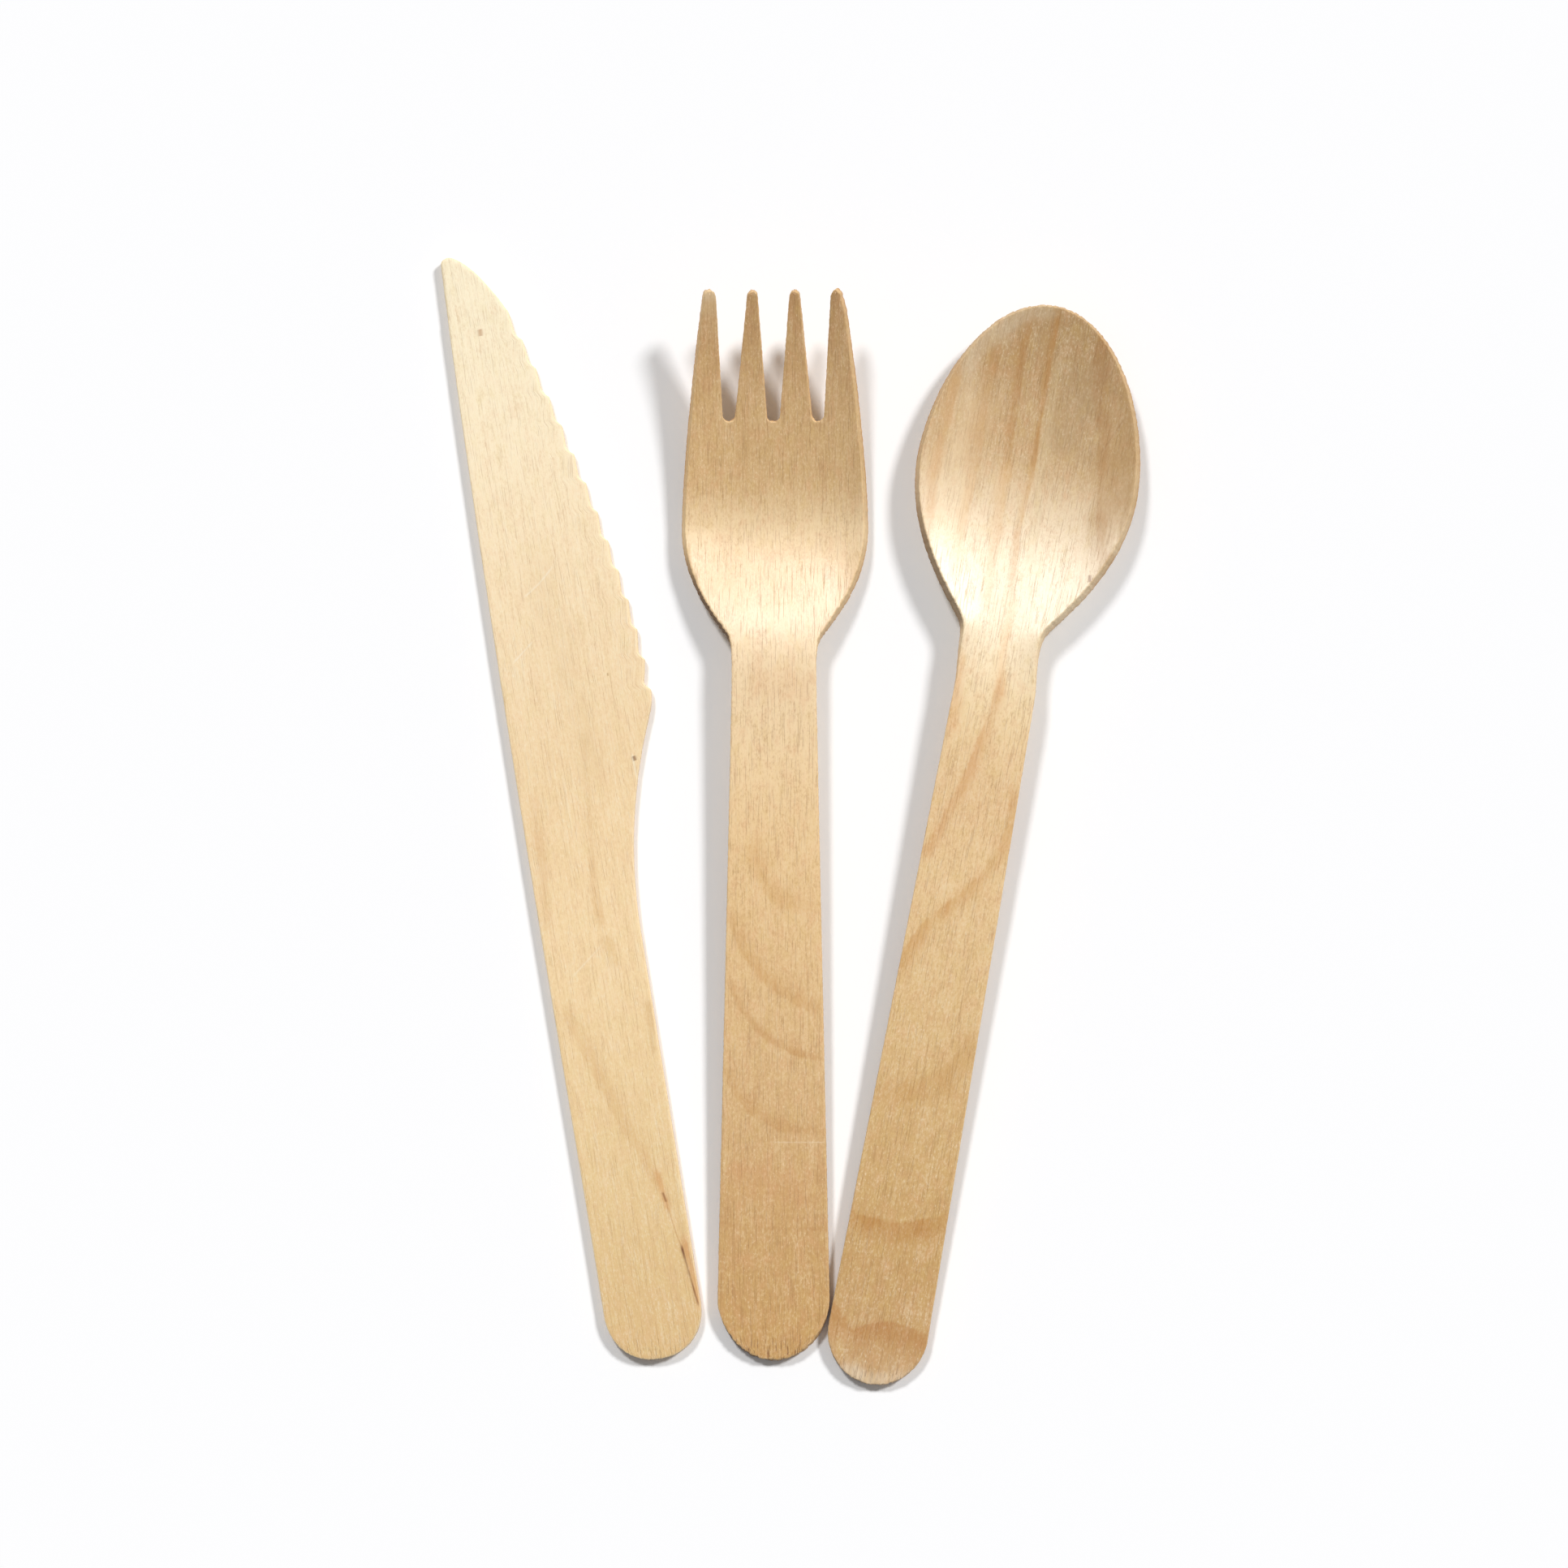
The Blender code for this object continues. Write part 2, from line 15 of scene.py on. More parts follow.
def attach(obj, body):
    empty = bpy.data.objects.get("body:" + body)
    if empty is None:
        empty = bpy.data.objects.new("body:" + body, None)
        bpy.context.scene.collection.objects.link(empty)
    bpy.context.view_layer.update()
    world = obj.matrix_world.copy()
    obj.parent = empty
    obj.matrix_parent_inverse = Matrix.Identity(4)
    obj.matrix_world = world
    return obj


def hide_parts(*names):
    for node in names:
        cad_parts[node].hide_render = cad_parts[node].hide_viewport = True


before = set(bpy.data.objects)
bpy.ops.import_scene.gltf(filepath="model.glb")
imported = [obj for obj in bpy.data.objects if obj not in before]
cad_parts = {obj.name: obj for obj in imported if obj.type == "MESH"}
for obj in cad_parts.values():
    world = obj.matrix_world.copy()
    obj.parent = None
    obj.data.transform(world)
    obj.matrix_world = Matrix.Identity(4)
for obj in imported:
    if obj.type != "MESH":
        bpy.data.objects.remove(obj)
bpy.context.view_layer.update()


# Knife
# One flat sheet of birch veneer, die-cut across the sheet and then tumbled.
# The cut leaves the sides square; tumbling wears the saw edge and tip round.

SHEET = 0.0016  # thickness of the veneer, the same for all three pieces

KNIFE_LENGTH = 0.165
KNIFE_HANDLE_WIDTH = 0.0142
KNIFE_END_LENGTH = 0.0076
KNIFE_END_FULLNESS = 2.2  # 2 is an ellipse, more is squarer
HEEL_PLACE = 0.0948  # along the knife, its widest point
HEEL_REACH = 0.01422  # from the handle's middle line to the heel
HEEL_ROUND = 0.0018
NOTCH_START = 0.062  # finger notch between the straight handle and the heel
NOTCH_SLOPE = 0.42
SPINE_BULGE = 0.0004
SPINE_TIP_SLOPE = 0.03
TIP_START = 0.1555  # where the saw edge ends and the tip's curve begins
TIP_START_REACH = 0.0024
TIP_SPINE_OFFSET = 0.0065
TIP_ROUND = 0.0013
TIP_CURVE = 1.6
EDGE_BEND = 0.098  # the saw edge is straight up to here
EDGE_FALL = 1.5
KNIFE_PLACE = (-0.018577, -0.079135)
KNIFE_LEAN = radians(9.33)

TOOTH_COUNT = 13
TOOTH_DEPTH = 0.00084
TOOTH_DEPTH_AT_TIP = 0.0007
TOOTH_LONG_FLANK = 0.73  # share of a tooth
TOOTH_FADE_START = 0.0012  # behind the edge, the blade moves less with its teeth
TOOTH_FADE_RUN = 0.004

HANDLE_WEAR = 0.00016  # radius that tumbling gives a cut edge
SAW_WEAR = 0.00032
SAW_WEAR_RUN = 0.004  # over this length the one turns into the other
SAW_WEAR_OVERLAP = 0.0005
END_POINTS = 40  # how finely the curves are drawn before resampling
CURVE_POINTS = 60
CORNER_POINTS = 12
SAW_POINTS = 160
TIP_POINTS = 30
OUTLINE_STEP = 0.0002  # spacing of the points along an outline
CELL = 0.0008  # spacing of the points inside a blank
CELL_CLEARANCE = 0.55  # share of a cell that they keep away from its edge
MARGIN = 0.0004  # first row of points behind the worn edge
MARGIN_SHARE = 0.7  # how far this row follows the ragged edge
SAME_POINT = 1e-7  # points closer than this are one
NO_LENGTH = 1e-12  # least length to divide by
WEAR_STEPS = 3  # facets of a worn edge


def spread(start, end, count):
    """Evenly spaced values, both ends included."""
    return [start + (end - start) * i / count for i in range(count + 1)]


def round_end(half_width, length, fullness):
    """Right half of a rounded handle end, from the middle line outwards."""
    points = []
    for angle in spread(0.0, 0.5 * pi, END_POINTS):
        x = half_width * sin(angle) ** (2.0 / fullness)
        points.append((x, length * (1.0 - cos(angle) ** (2.0 / fullness))))
    return points


def hermite(start, end, start_slope, end_slope):
    """Curve x(y) between two points with the given slopes at its ends."""
    (x0, y0), (x1, y1) = start, end
    run = y1 - y0
    points = []
    for t in spread(0.0, 1.0, CURVE_POINTS):
        at_start = 2 * t ** 3 - 3 * t ** 2 + 1
        leaving = t ** 3 - 2 * t ** 2 + t
        at_end = 3 * t ** 2 - 2 * t ** 3
        arriving = t ** 3 - t ** 2
        x = at_start * x0 + leaving * run * start_slope + at_end * x1 + arriving * run * end_slope
        points.append((x, y0 + run * t))
    return points


def rounded_corner(start, corner, end):
    """Arc-like curve that cuts a corner short."""
    points = []
    for t in spread(0.0, 1.0, CORNER_POINTS):
        r = 1.0 - t
        points.append(tuple(r * r * a + 2 * r * t * b + t * t * c
                            for a, b, c in zip(start, corner, end)))
    return points


def feed(tree, slot, value):
    """Give a socket a plain value, a number that the tree works out, or a node's output."""
    if isinstance(value, Quantity):
        value = value.socket
    if isinstance(value, bpy.types.NodeSocket):
        tree.links.new(value, slot)
    else:
        slot.default_value = value


class Quantity:
    """A number that a node tree works out. It adds and multiplies like a plain one."""

    def __init__(self, tree, socket):
        self.tree = tree
        self.socket = socket

    def step(self, operation, *values):
        """One more sum for the tree to do."""
        node = self.tree.nodes.new("ShaderNodeMath")
        node.operation = operation
        for slot, value in zip(node.inputs, values):
            feed(self.tree, slot, value)
        return Quantity(self.tree, node.outputs[0])

    def __neg__(self):
        return self.step('MULTIPLY', self, -1.0)

    def __abs__(self):
        return self.step('ABSOLUTE', self)


def in_order(operation):
    """Method for a sum that starts with a Quantity."""
    return lambda self, other: self.step(operation, self, other)


def turned_round(operation):
    """Method for a sum that a plain number starts."""
    return lambda self, other: self.step(operation, other, self)


for sign, sum_of in (("add", 'ADD'), ("sub", 'SUBTRACT'), ("mul", 'MULTIPLY'),
                     ("truediv", 'DIVIDE'), ("pow", 'POWER')):
    setattr(Quantity, f"__{sign}__", in_order(sum_of))
    setattr(Quantity, f"__r{sign}__", turned_round(sum_of))


def chosen(operation, plain):
    """Function that picks one of two numbers, plain ones or a tree's."""
    def pick(a, b):
        found = next((v for v in (a, b) if isinstance(v, Quantity)), None)
        return found.step(operation, a, b) if found else plain(a, b)
    return pick


larger = chosen('MAXIMUM', max)
smaller = chosen('MINIMUM', min)


def root(a):
    """Square root, and 0 for what is below 0."""
    return a.step('SQRT', larger(a, 0.0)) if isinstance(a, Quantity) else sqrt(max(a, 0.0))


def below(a, limit):
    """1 where a is below the limit, else 0."""
    return a.step('LESS_THAN', a, limit)


def ramp(t):
    """Rise smoothly from 0 to 1, with no kink at either end."""
    t = smaller(larger(t, 0.0), 1.0)
    return t * t * t * (t * (t * 6.0 - 15.0) + 10.0)


def edge_line(y):
    """Line that the points of the teeth touch, as a distance from the middle line."""
    run = larger(y - EDGE_BEND, 0.0) / (TIP_START - EDGE_BEND)
    return HEEL_REACH - (HEEL_REACH - TIP_START_REACH) * run ** EDGE_FALL


def knife_outline():
    """Outline of the knife before its teeth, anticlockwise from the handle's end."""
    half = 0.5 * KNIFE_HANDLE_WIDTH
    end = round_end(half, KNIFE_END_LENGTH, KNIFE_END_FULLNESS)
    heel = (HEEL_REACH - HEEL_ROUND * NOTCH_SLOPE, HEEL_PLACE - HEEL_ROUND)
    notch = hermite((half, NOTCH_START), heel, 0.0, NOTCH_SLOPE)
    heel_arc = rounded_corner(heel, (HEEL_REACH, HEEL_PLACE), (HEEL_REACH, HEEL_PLACE + HEEL_ROUND))
    saw = [(edge_line(y), y) for y in spread(HEEL_PLACE + HEEL_ROUND, TIP_START, SAW_POINTS)]
    corner = (-TIP_SPINE_OFFSET, KNIFE_LENGTH)
    tip_top = (corner[0] + TIP_ROUND, KNIFE_LENGTH)
    tip = []
    for t in spread(0.0, 1.0, TIP_POINTS):
        x = TIP_START_REACH + (tip_top[0] - TIP_START_REACH) * t
        tip.append((x, TIP_START + (KNIFE_LENGTH - TIP_START) * (1.0 - (1.0 - t) ** TIP_CURVE)))
    tip_arc = rounded_corner(tip_top, corner, (corner[0], KNIFE_LENGTH - TIP_ROUND))
    belly = 0.5 * (NOTCH_START + HEEL_PLACE)
    spine_top = hermite((-half - SPINE_BULGE, belly), tip_arc[-1], 0.0, SPINE_TIP_SLOPE)
    spine_low = hermite((-half, KNIFE_END_LENGTH), spine_top[0], 0.0, 0.0)
    left_end = [(-x, y) for x, y in end[-2:0:-1]]
    right = end + notch + heel_arc[1:] + saw[1:] + tip[1:] + tip_arc[1:]
    return right + spine_top[-2::-1] + spine_low[-2::-1] + left_end


def even_steps(outline, step):
    """The same closed outline with its points an even distance apart."""
    closed = outline + outline[:1]
    along = [0.0]
    for (x0, y0), (x1, y1) in zip(closed, closed[1:]):
        along.append(along[-1] + hypot(x1 - x0, y1 - y0))
    count = round(along[-1] / step)
    points, piece = [], 0
    for i in range(count):
        place = along[-1] * i / count
        while along[piece + 1] < place:
            piece += 1
        share = (place - along[piece]) / max(along[piece + 1] - along[piece], NO_LENGTH)
        (x0, y0), (x1, y1) = closed[piece], closed[piece + 1]
        points.append((x0 + (x1 - x0) * share, y0 + (y1 - y0) * share))
    return points


def inward_directions(points):
    """At each point of an anticlockwise outline, the direction into the sheet."""
    directions = []
    for before, after in zip(points[-1:] + points[:-1], points[1:] + points[:1]):
        side = Vector((before[1] - after[1], after[0] - before[0]))
        directions.append(side.normalized())
    return directions


def inside_points(outline, cell):
    """Staggered rows of points inside an outline, none of them close to its edge."""
    segments = list(zip(outline, outline[1:] + outline[:1]))
    buckets = {}
    for x, y in outline:
        buckets.setdefault((round(x / cell), round(y / cell)), []).append((x, y))
    lowest, highest = min(y for _, y in outline), max(y for _, y in outline)
    points = []
    for number in range(1, int((highest - lowest) / cell)):
        level = lowest + number * cell
        crossings = sorted(x0 + (x1 - x0) * (level - y0) / (y1 - y0)
                           for (x0, y0), (x1, y1) in segments if (y0 <= level) != (y1 <= level))
        for left, right in zip(crossings[::2], crossings[1::2]):
            first = int(left / cell) - 1
            for column in range(first, int(right / cell) + 2):
                x = (column + 0.5 * (number % 2)) * cell
                if not left < x < right:
                    continue
                near = (p for dx in (-1, 0, 1) for dy in (-1, 0, 1)
                        for p in buckets.get((round(x / cell) + dx, round(level / cell) + dy), ()))
                if all(hypot(x - px, level - py) > CELL_CLEARANCE * cell for px, py in near):
                    points.append((x, level))
    return points


def cut_blank(name, outline, wear_at):
    """Flat solid blank with rounded edges. Its points know their depth and the way in."""
    outline = even_steps(outline, OUTLINE_STEP)
    inward = inward_directions(outline)
    wear = [wear_at(x, y) for x, y in outline]
    rim = list(zip(outline, wear, inward))
    face_edge = [(x + w * d.x, y + w * d.y) for (x, y), w, d in rim]
    margin = [(x + (w + MARGIN) * d.x, y + (w + MARGIN) * d.y) for (x, y), w, d in rim]
    count = len(outline)

    # one flat face, for both sides of the sheet
    loop = [(i, (i + 1) % count) for i in range(count)]
    given = [Vector(p) for p in face_edge + margin + inside_points(margin, CELL)]
    flat, _, cells, origin, _, _ = delaunay_2d_cdt(given, loop, [], 1, SAME_POINT)
    number_of = {}
    for number, sources in enumerate(origin):
        for source in sources:
            number_of[source] = number
    cells = [c if (flat[c[1]] - flat[c[0]]).cross(flat[c[2]] - flat[c[1]]) > 0 else c[::-1]
             for c in map(tuple, cells)]
    used = sorted({i for c in cells for i in c})
    place = {old: new for new, old in enumerate(used)}

    corners = [(flat[i].x, flat[i].y, side) for side in (1.0, 0.0) for i in used]
    ways = [(0.0, 0.0, 0.0)] * len(corners)
    under = len(used)
    for i in range(count):
        next_in = place[number_of[count + i]]
        way = (MARGIN_SHARE * inward[i].x, MARGIN_SHARE * inward[i].y, 0.0)
        ways[next_in] = ways[next_in + under] = way
    faces = [tuple(place[i] for i in c) for c in cells]
    faces += [tuple(place[i] + under for i in c)[::-1] for c in cells]

    # rings of points down the cut side, from the upper worn edge to the lower one
    rings = [[place[number_of[i]] for i in range(count)]]
    turns = [0.5 * pi * k / WEAR_STEPS for k in range(1, WEAR_STEPS + 1)]
    profile = [(1.0 - sin(t), 1.0 - cos(t), True) for t in turns]
    profile += [(1.0 - sin(t), 1.0 - cos(t), False) for t in turns[::-1]]
    for inset, drop, upper in profile:
        ring = []
        for (x, y), w, d in rim:
            height = drop * w / SHEET
            ring.append(len(corners))
            level = 1.0 - height if upper else height
            corners.append((x + inset * w * d.x, y + inset * w * d.y, level))
            ways.append((d.x, d.y, 0.0))
        rings.append(ring)
    rings.append([place[number_of[i]] + under for i in range(count)])
    for high, low in zip(rings, rings[1:]):
        for i, j in loop:
            faces.append((high[j], high[i], low[i], low[j]))
    for i in range(count):
        ways[rings[0][i]] = ways[rings[-1][i]] = (inward[i].x, inward[i].y, 0.0)

    mesh = bpy.data.meshes.new(name)
    mesh.from_pydata([(x, y, 0.0) for x, y, _ in corners], [], faces)
    blank = mesh.uv_layers.new(name="blank")
    for corner in mesh.loops:
        blank.data[corner.index].uv = corners[corner.vertex_index][:2]
    on_side = {i for ring in rings[1:-1] for i in ring}
    for label, kind, part, values in (
            ("depth", 'FLOAT', "value", [d for _, _, d in corners]),
            ("way_in", 'FLOAT_VECTOR', "vector", [c for way in ways for c in way]),
            ("cut", 'FLOAT', "value", [float(i in on_side) for i in range(len(corners))])):
        mesh.attributes.new(label, kind, 'POINT').data.foreach_set(part, values)
    piece = bpy.data.objects.new(name, mesh)
    bpy.context.scene.collection.objects.link(piece)
    return piece


def new_tree(name, kind, takes, numbers, gives):
    """Empty node tree with named inputs and outputs. Its numbers come ready to work with."""
    tree = bpy.data.node_groups.new(name, kind)
    for label, socket_type in takes.items():
        tree.interface.new_socket(label, in_out='INPUT', socket_type=socket_type)
    for label, value in numbers.items():
        socket = tree.interface.new_socket(label, in_out='INPUT', socket_type='NodeSocketFloat')
        socket.default_value = value
    for label, socket_type in gives.items():
        tree.interface.new_socket(label, in_out='OUTPUT', socket_type=socket_type)
    given = tree.nodes.new("NodeGroupInput")
    asked = {label: Quantity(tree, given.outputs[label]) for label in numbers}
    return tree, given, asked, tree.nodes.new("NodeGroupOutput")


SHAPE_TAKES = {"Blank": 'NodeSocketGeometry', "Wood": 'NodeSocketMaterial'}
SHAPE_GIVES = {"Piece": 'NodeSocketGeometry'}


def attribute(tree, name, kind):
    """A value stored on the points of the blank."""
    node = tree.nodes.new("GeometryNodeInputNamedAttribute")
    node.data_type = kind
    node.inputs["Name"].default_value = name
    return node.outputs["Attribute"]


def parts_of(tree, vector):
    """The three parts of a vector."""
    node = tree.nodes.new("ShaderNodeSeparateXYZ")
    tree.links.new(vector, node.inputs[0])
    return [Quantity(tree, output) for output in node.outputs]


def joined(tree, x, y, z):
    """A vector made of three parts."""
    node = tree.nodes.new("ShaderNodeCombineXYZ")
    for slot, value in zip(node.inputs, (x, y, z)):
        feed(tree, slot, value)
    return node.outputs[0]


def noise(tree, vector, detail, roughness):
    """Smooth noise from 0 to 1. The vector brings the scale, in repeats per metre."""
    node = tree.nodes.new("ShaderNodeTexNoise")
    node.inputs["Scale"].default_value = 1.0
    node.inputs["Detail"].default_value = detail
    node.inputs["Roughness"].default_value = roughness
    tree.links.new(vector, node.inputs["Vector"])
    return Quantity(tree, node.outputs["Fac"])


WAVES = 300.0  # long waves of a cut edge, repeats per metre
FIBRES_ACROSS = 2300.0  # torn fibres of a cut edge, across and along the grain
FIBRES_ALONG = 1500.0
FIBRES_THROUGH = 1.2  # how much they change through the sheet
TORN_FROM = 0.36  # noise from which a fibre is torn, and fully torn
TORN_RUN = 0.28
CLEAN_CUT = 0.5  # raggedness along the grain, and what a cut across it adds
CROSS_CUT = 1.8
SLANT_SPREAD = 1.4


def worn_outline(tree, asked):
    """Where a blank's points lie after cutting: its edge is wavy, torn and slanted."""
    place = tree.nodes.new("GeometryNodeInputPosition").outputs[0]
    x, y, _ = parts_of(tree, place)
    way_x, way_y, _ = parts_of(tree, attribute(tree, "way_in", 'FLOAT_VECTOR'))
    depth = Quantity(tree, attribute(tree, "depth", 'FLOAT'))
    seed = asked["Seed"]
    long_waves = noise(tree, joined(tree, x * WAVES, y * WAVES, seed), detail=1.0, roughness=0.5)
    fibre_place = joined(tree, x * FIBRES_ACROSS, y * FIBRES_ALONG, seed + depth * FIBRES_THROUGH)
    fibres = noise(tree, fibre_place, detail=2.0, roughness=0.7)
    torn = ramp((fibres - TORN_FROM) / TORN_RUN)
    over_grain = abs(way_y) * CROSS_CUT + CLEAN_CUT
    cut_in = asked["Waviness"] * long_waves + asked["Raggedness"] * torn * over_grain
    cut_in = cut_in + asked["Slant"] * depth * ramp(way_y * SLANT_SPREAD)
    return x + way_x * cut_in, y + way_y * cut_in, depth


def finish_tree(tree, given, result, x, y, z):
    """Move the points, then hand the piece over as a plain mesh of one wood."""
    move = tree.nodes.new("GeometryNodeSetPosition")
    real = tree.nodes.new("GeometryNodeRealizeInstances")
    paint = tree.nodes.new("GeometryNodeSetMaterial")
    tree.links.new(given.outputs["Blank"], move.inputs["Geometry"])
    tree.links.new(joined(tree, x, y, z), move.inputs["Position"])
    tree.links.new(move.outputs[0], real.inputs[0])
    tree.links.new(real.outputs[0], paint.inputs["Geometry"])
    tree.links.new(given.outputs["Wood"], paint.inputs["Material"])
    tree.links.new(paint.outputs[0], result.inputs["Piece"])


def shaped(piece, tree, settings, wood):
    """Run a blank through its tree and keep the result as its own mesh."""
    steps = piece.modifiers.new("shape", 'NODES')
    steps.node_group = tree
    for item in tree.interface.items_tree:
        if item.in_out == 'INPUT' and item.name in settings:
            steps[item.identifier] = settings[item.name]
        if item.in_out == 'INPUT' and item.name == "Wood":
            steps[item.identifier] = wood
    graph = bpy.context.evaluated_depsgraph_get()
    solid = bpy.data.meshes.new_from_object(piece.evaluated_get(graph))
    piece.modifiers.clear()
    blank = piece.data
    piece.data = solid
    bpy.data.meshes.remove(blank)
    solid.name = piece.name
    solid.shade_smooth()
    return piece


def laid(piece, place, lean, tilt=0.0):
    """Lay a piece in its place: tipped onto its head, then turned on the table."""
    turn = Matrix.Rotation(lean, 4, 'Z') @ Matrix.Rotation(tilt, 4, 'X')
    piece.data.transform(Matrix.Translation((place[0], place[1], 0.0)) @ turn)
    return piece


def linear(red, green, blue):
    """A colour as seen on a screen, 0 to 255, as light."""
    light = []
    for value in (red, green, blue):
        v = value / 255.0
        light.append(v / 12.92 if v <= 0.04045 else ((v + 0.055) / 1.055) ** 2.4)
    return (*light, 1.0)


def patches(field, start, sharpness):
    """1 in the patches where a noise field is well above its start, 0 elsewhere."""
    return smaller(larger((field - start) * sharpness, 0.0), 1.0)


GRAIN_TAKES = {"Blank": 'NodeSocketVector'}
CHECK_START = 0.0008  # drying cracks fade out from here to the end of the run
CHECK_RUN = 0.0042


def grain_group():
    """Birch seen closely: long fibres, fleck, open pores, glints, end cracks and soft rings."""
    numbers = {"Depth": 0.0, "Seed": 0.0, "Ring Width": 0.0035, "Ring Sway": 0.004}
    outputs = ("Fibres", "Fleck", "Pores", "Glints", "Rings", "Blotches", "Warmth", "Checks",
               "Height")
    tree, given, ask, result = new_tree("birch grain", 'ShaderNodeTree', GRAIN_TAKES, numbers,
                                        dict.fromkeys(outputs, 'NodeSocketFloat'))
    x, y, _ = parts_of(tree, given.outputs["Blank"])
    z = ask["Depth"] * SHEET
    seed = ask["Seed"]

    def through(across, along, detail, roughness, shift=0.0):
        """Noise drawn out along the grain that changes through the sheet too."""
        place = joined(tree, x * across, y * along, z * across + seed + shift)
        return noise(tree, place, detail, roughness)

    def flat(across, along, detail, roughness, shift=0.0):
        """Noise drawn out along the grain, the same at every depth."""
        return noise(tree, joined(tree, x * across, y * along, seed + shift), detail, roughness)

    strands = through(across=2300.0, along=55.0, detail=3.0, roughness=0.62)
    hairs = through(across=7500.0, along=230.0, detail=2.0, roughness=0.6)
    fleck = through(across=3600.0, along=1700.0, detail=2.0, roughness=0.7)
    pore_field = through(across=8500.0, along=280.0, detail=1.0, roughness=0.4)
    glint_field = through(across=5200.0, along=2600.0, detail=1.0, roughness=0.5, shift=5.0)
    sway = flat(across=26.0, along=17.0, detail=2.0, roughness=0.5)
    blotches = flat(across=330.0, along=210.0, detail=3.0, roughness=0.6, shift=3.0)
    warmth = flat(across=640.0, along=380.0, detail=2.0, roughness=0.6, shift=7.0)
    check_field = flat(across=4200.0, along=420.0, detail=1.0, roughness=0.5, shift=9.0)

    rings = (x + (sway - 0.5) * ask["Ring Sway"] * 8.0) / ask["Ring Width"]
    rings = rings.step('SINE', rings * (2.0 * pi)) * 0.5 + 0.5
    pores = patches(pore_field, start=0.6, sharpness=8.0)
    glints = patches(glint_field, start=0.62, sharpness=7.0)
    checks = patches(check_field, start=0.56, sharpness=9.0)
    checks = checks * (1.0 - ramp((y - CHECK_START) / CHECK_RUN))
    fibres = strands * 0.5 + hairs * 0.5
    height = strands * 0.35 + hairs * 0.35 + fleck * 0.3 - pores * 0.5 - checks * 1.5
    made = (fibres, fleck, pores, glints, rings, blotches, warmth, checks, height)
    for label, value in zip(outputs, made):
        tree.links.new(value.socket, result.inputs[label])
    return tree


FADE_SHARE = 0.3  # a streak fades out over this share of its length at most
FADE_LEAST = 0.003
STREAK_USUAL = 0.85
STREAK_MOST = 1.3


def streak_group():
    """A soft streak in the wood from one point to another, bowed, frayed and soft on one side."""
    numbers = {"From X": 0.0, "From Y": 0.0, "To X": 0.0, "To Y": 0.01,
               "Bow": 0.0, "Width": 0.0005, "Fray": 0.0, "Soft Side": 1.0}
    tree, given, ask, result = new_tree("streak", 'ShaderNodeTree', GRAIN_TAKES, numbers,
                                        {"Mask": 'NodeSocketFloat'})
    x, y, _ = parts_of(tree, given.outputs["Blank"])
    run_x, run_y = ask["To X"] - ask["From X"], ask["To Y"] - ask["From Y"]
    away_x, away_y = x - ask["From X"], y - ask["From Y"]
    length = root(run_x * run_x + run_y * run_y)
    along = (away_x * run_x + away_y * run_y) / (length * length)

    def sway(across, along, shift, detail, roughness):
        """Noise around 0, drawn out along the grain."""
        return noise(tree, joined(tree, x * across, y * along, shift), detail, roughness) - 0.5

    torn = sway(across=2100.0, along=260.0, shift=1.0, detail=3.0, roughness=0.65)
    drift = sway(across=330.0, along=140.0, shift=5.0, detail=2.0, roughness=0.5)
    across = (away_x * run_y - away_y * run_x) / length + ask["Bow"] * 4.0 * along * (along - 1.0)
    across = across + (torn * 1.6 + drift * 1.2) * ask["Fray"]
    on_sharp = below(across, 0.0)
    narrowing = on_sharp + (1.0 - on_sharp) / ask["Soft Side"]
    nearness = across / (ask["Width"] * (drift * 1.2 + 1.0)) * narrowing
    square = nearness * nearness
    bell = 1.0 / (1.0 + square * square)
    fade = smaller(length * FADE_SHARE, ask["Width"] * 2.0 + FADE_LEAST) / length
    ends = ramp(along / fade + 0.5) * ramp((1.0 - along) / fade + 0.5)
    strength = smaller(larger(STREAK_USUAL + torn * 1.2 + drift * 1.6, 0.0), STREAK_MOST)
    tree.links.new((bell * ends * strength).socket, result.inputs["Mask"])
    return tree


def mixed(tree, share, low, high):
    """Mix two colours by a share."""
    node = tree.nodes.new("ShaderNodeMix")
    node.data_type = 'RGBA'
    for slot, value in (("Factor_Float", share), ("A_Color", low), ("B_Color", high)):
        feed(tree, next(s for s in node.inputs if s.identifier == slot), value)
    return next(s for s in node.outputs if s.identifier == "Result_Color")


birch_grain = grain_group()
wood_streak = streak_group()


LIT_TOP_FROM = 0.15  # height in the sheet from which its cut side is painted paler, a painted highlight on its top-lit upper part
LIT_TOP_RUN = 0.35
WORN_FROM = 0.82  # and from which the edge is worn clean of dark end grain
WORN_RUN = 0.12
RIGHT_SIDE_END_GRAIN = 0.15  # end grain keeps this share of its darkening on the right-hand side; the rest is painted shade on the left-hand side
LEFT_SHADE_TURN = 150.0  # how soon the painted left-hand shade sets in, per metre from the middle line
OVER_GRAIN_SPREAD = 1.8
PLAIN_SHARE = 0.2  # share of a cut side's colour that its fibres don't stripe
ROUGH_FIBRES = 0.25  # what fibres, pores and cut sides add to the roughness
ROUGH_PORES = 0.15
ROUGH_EDGE = 0.2
DULL_EDGE = 0.75  # share of the shine that a cut side lacks


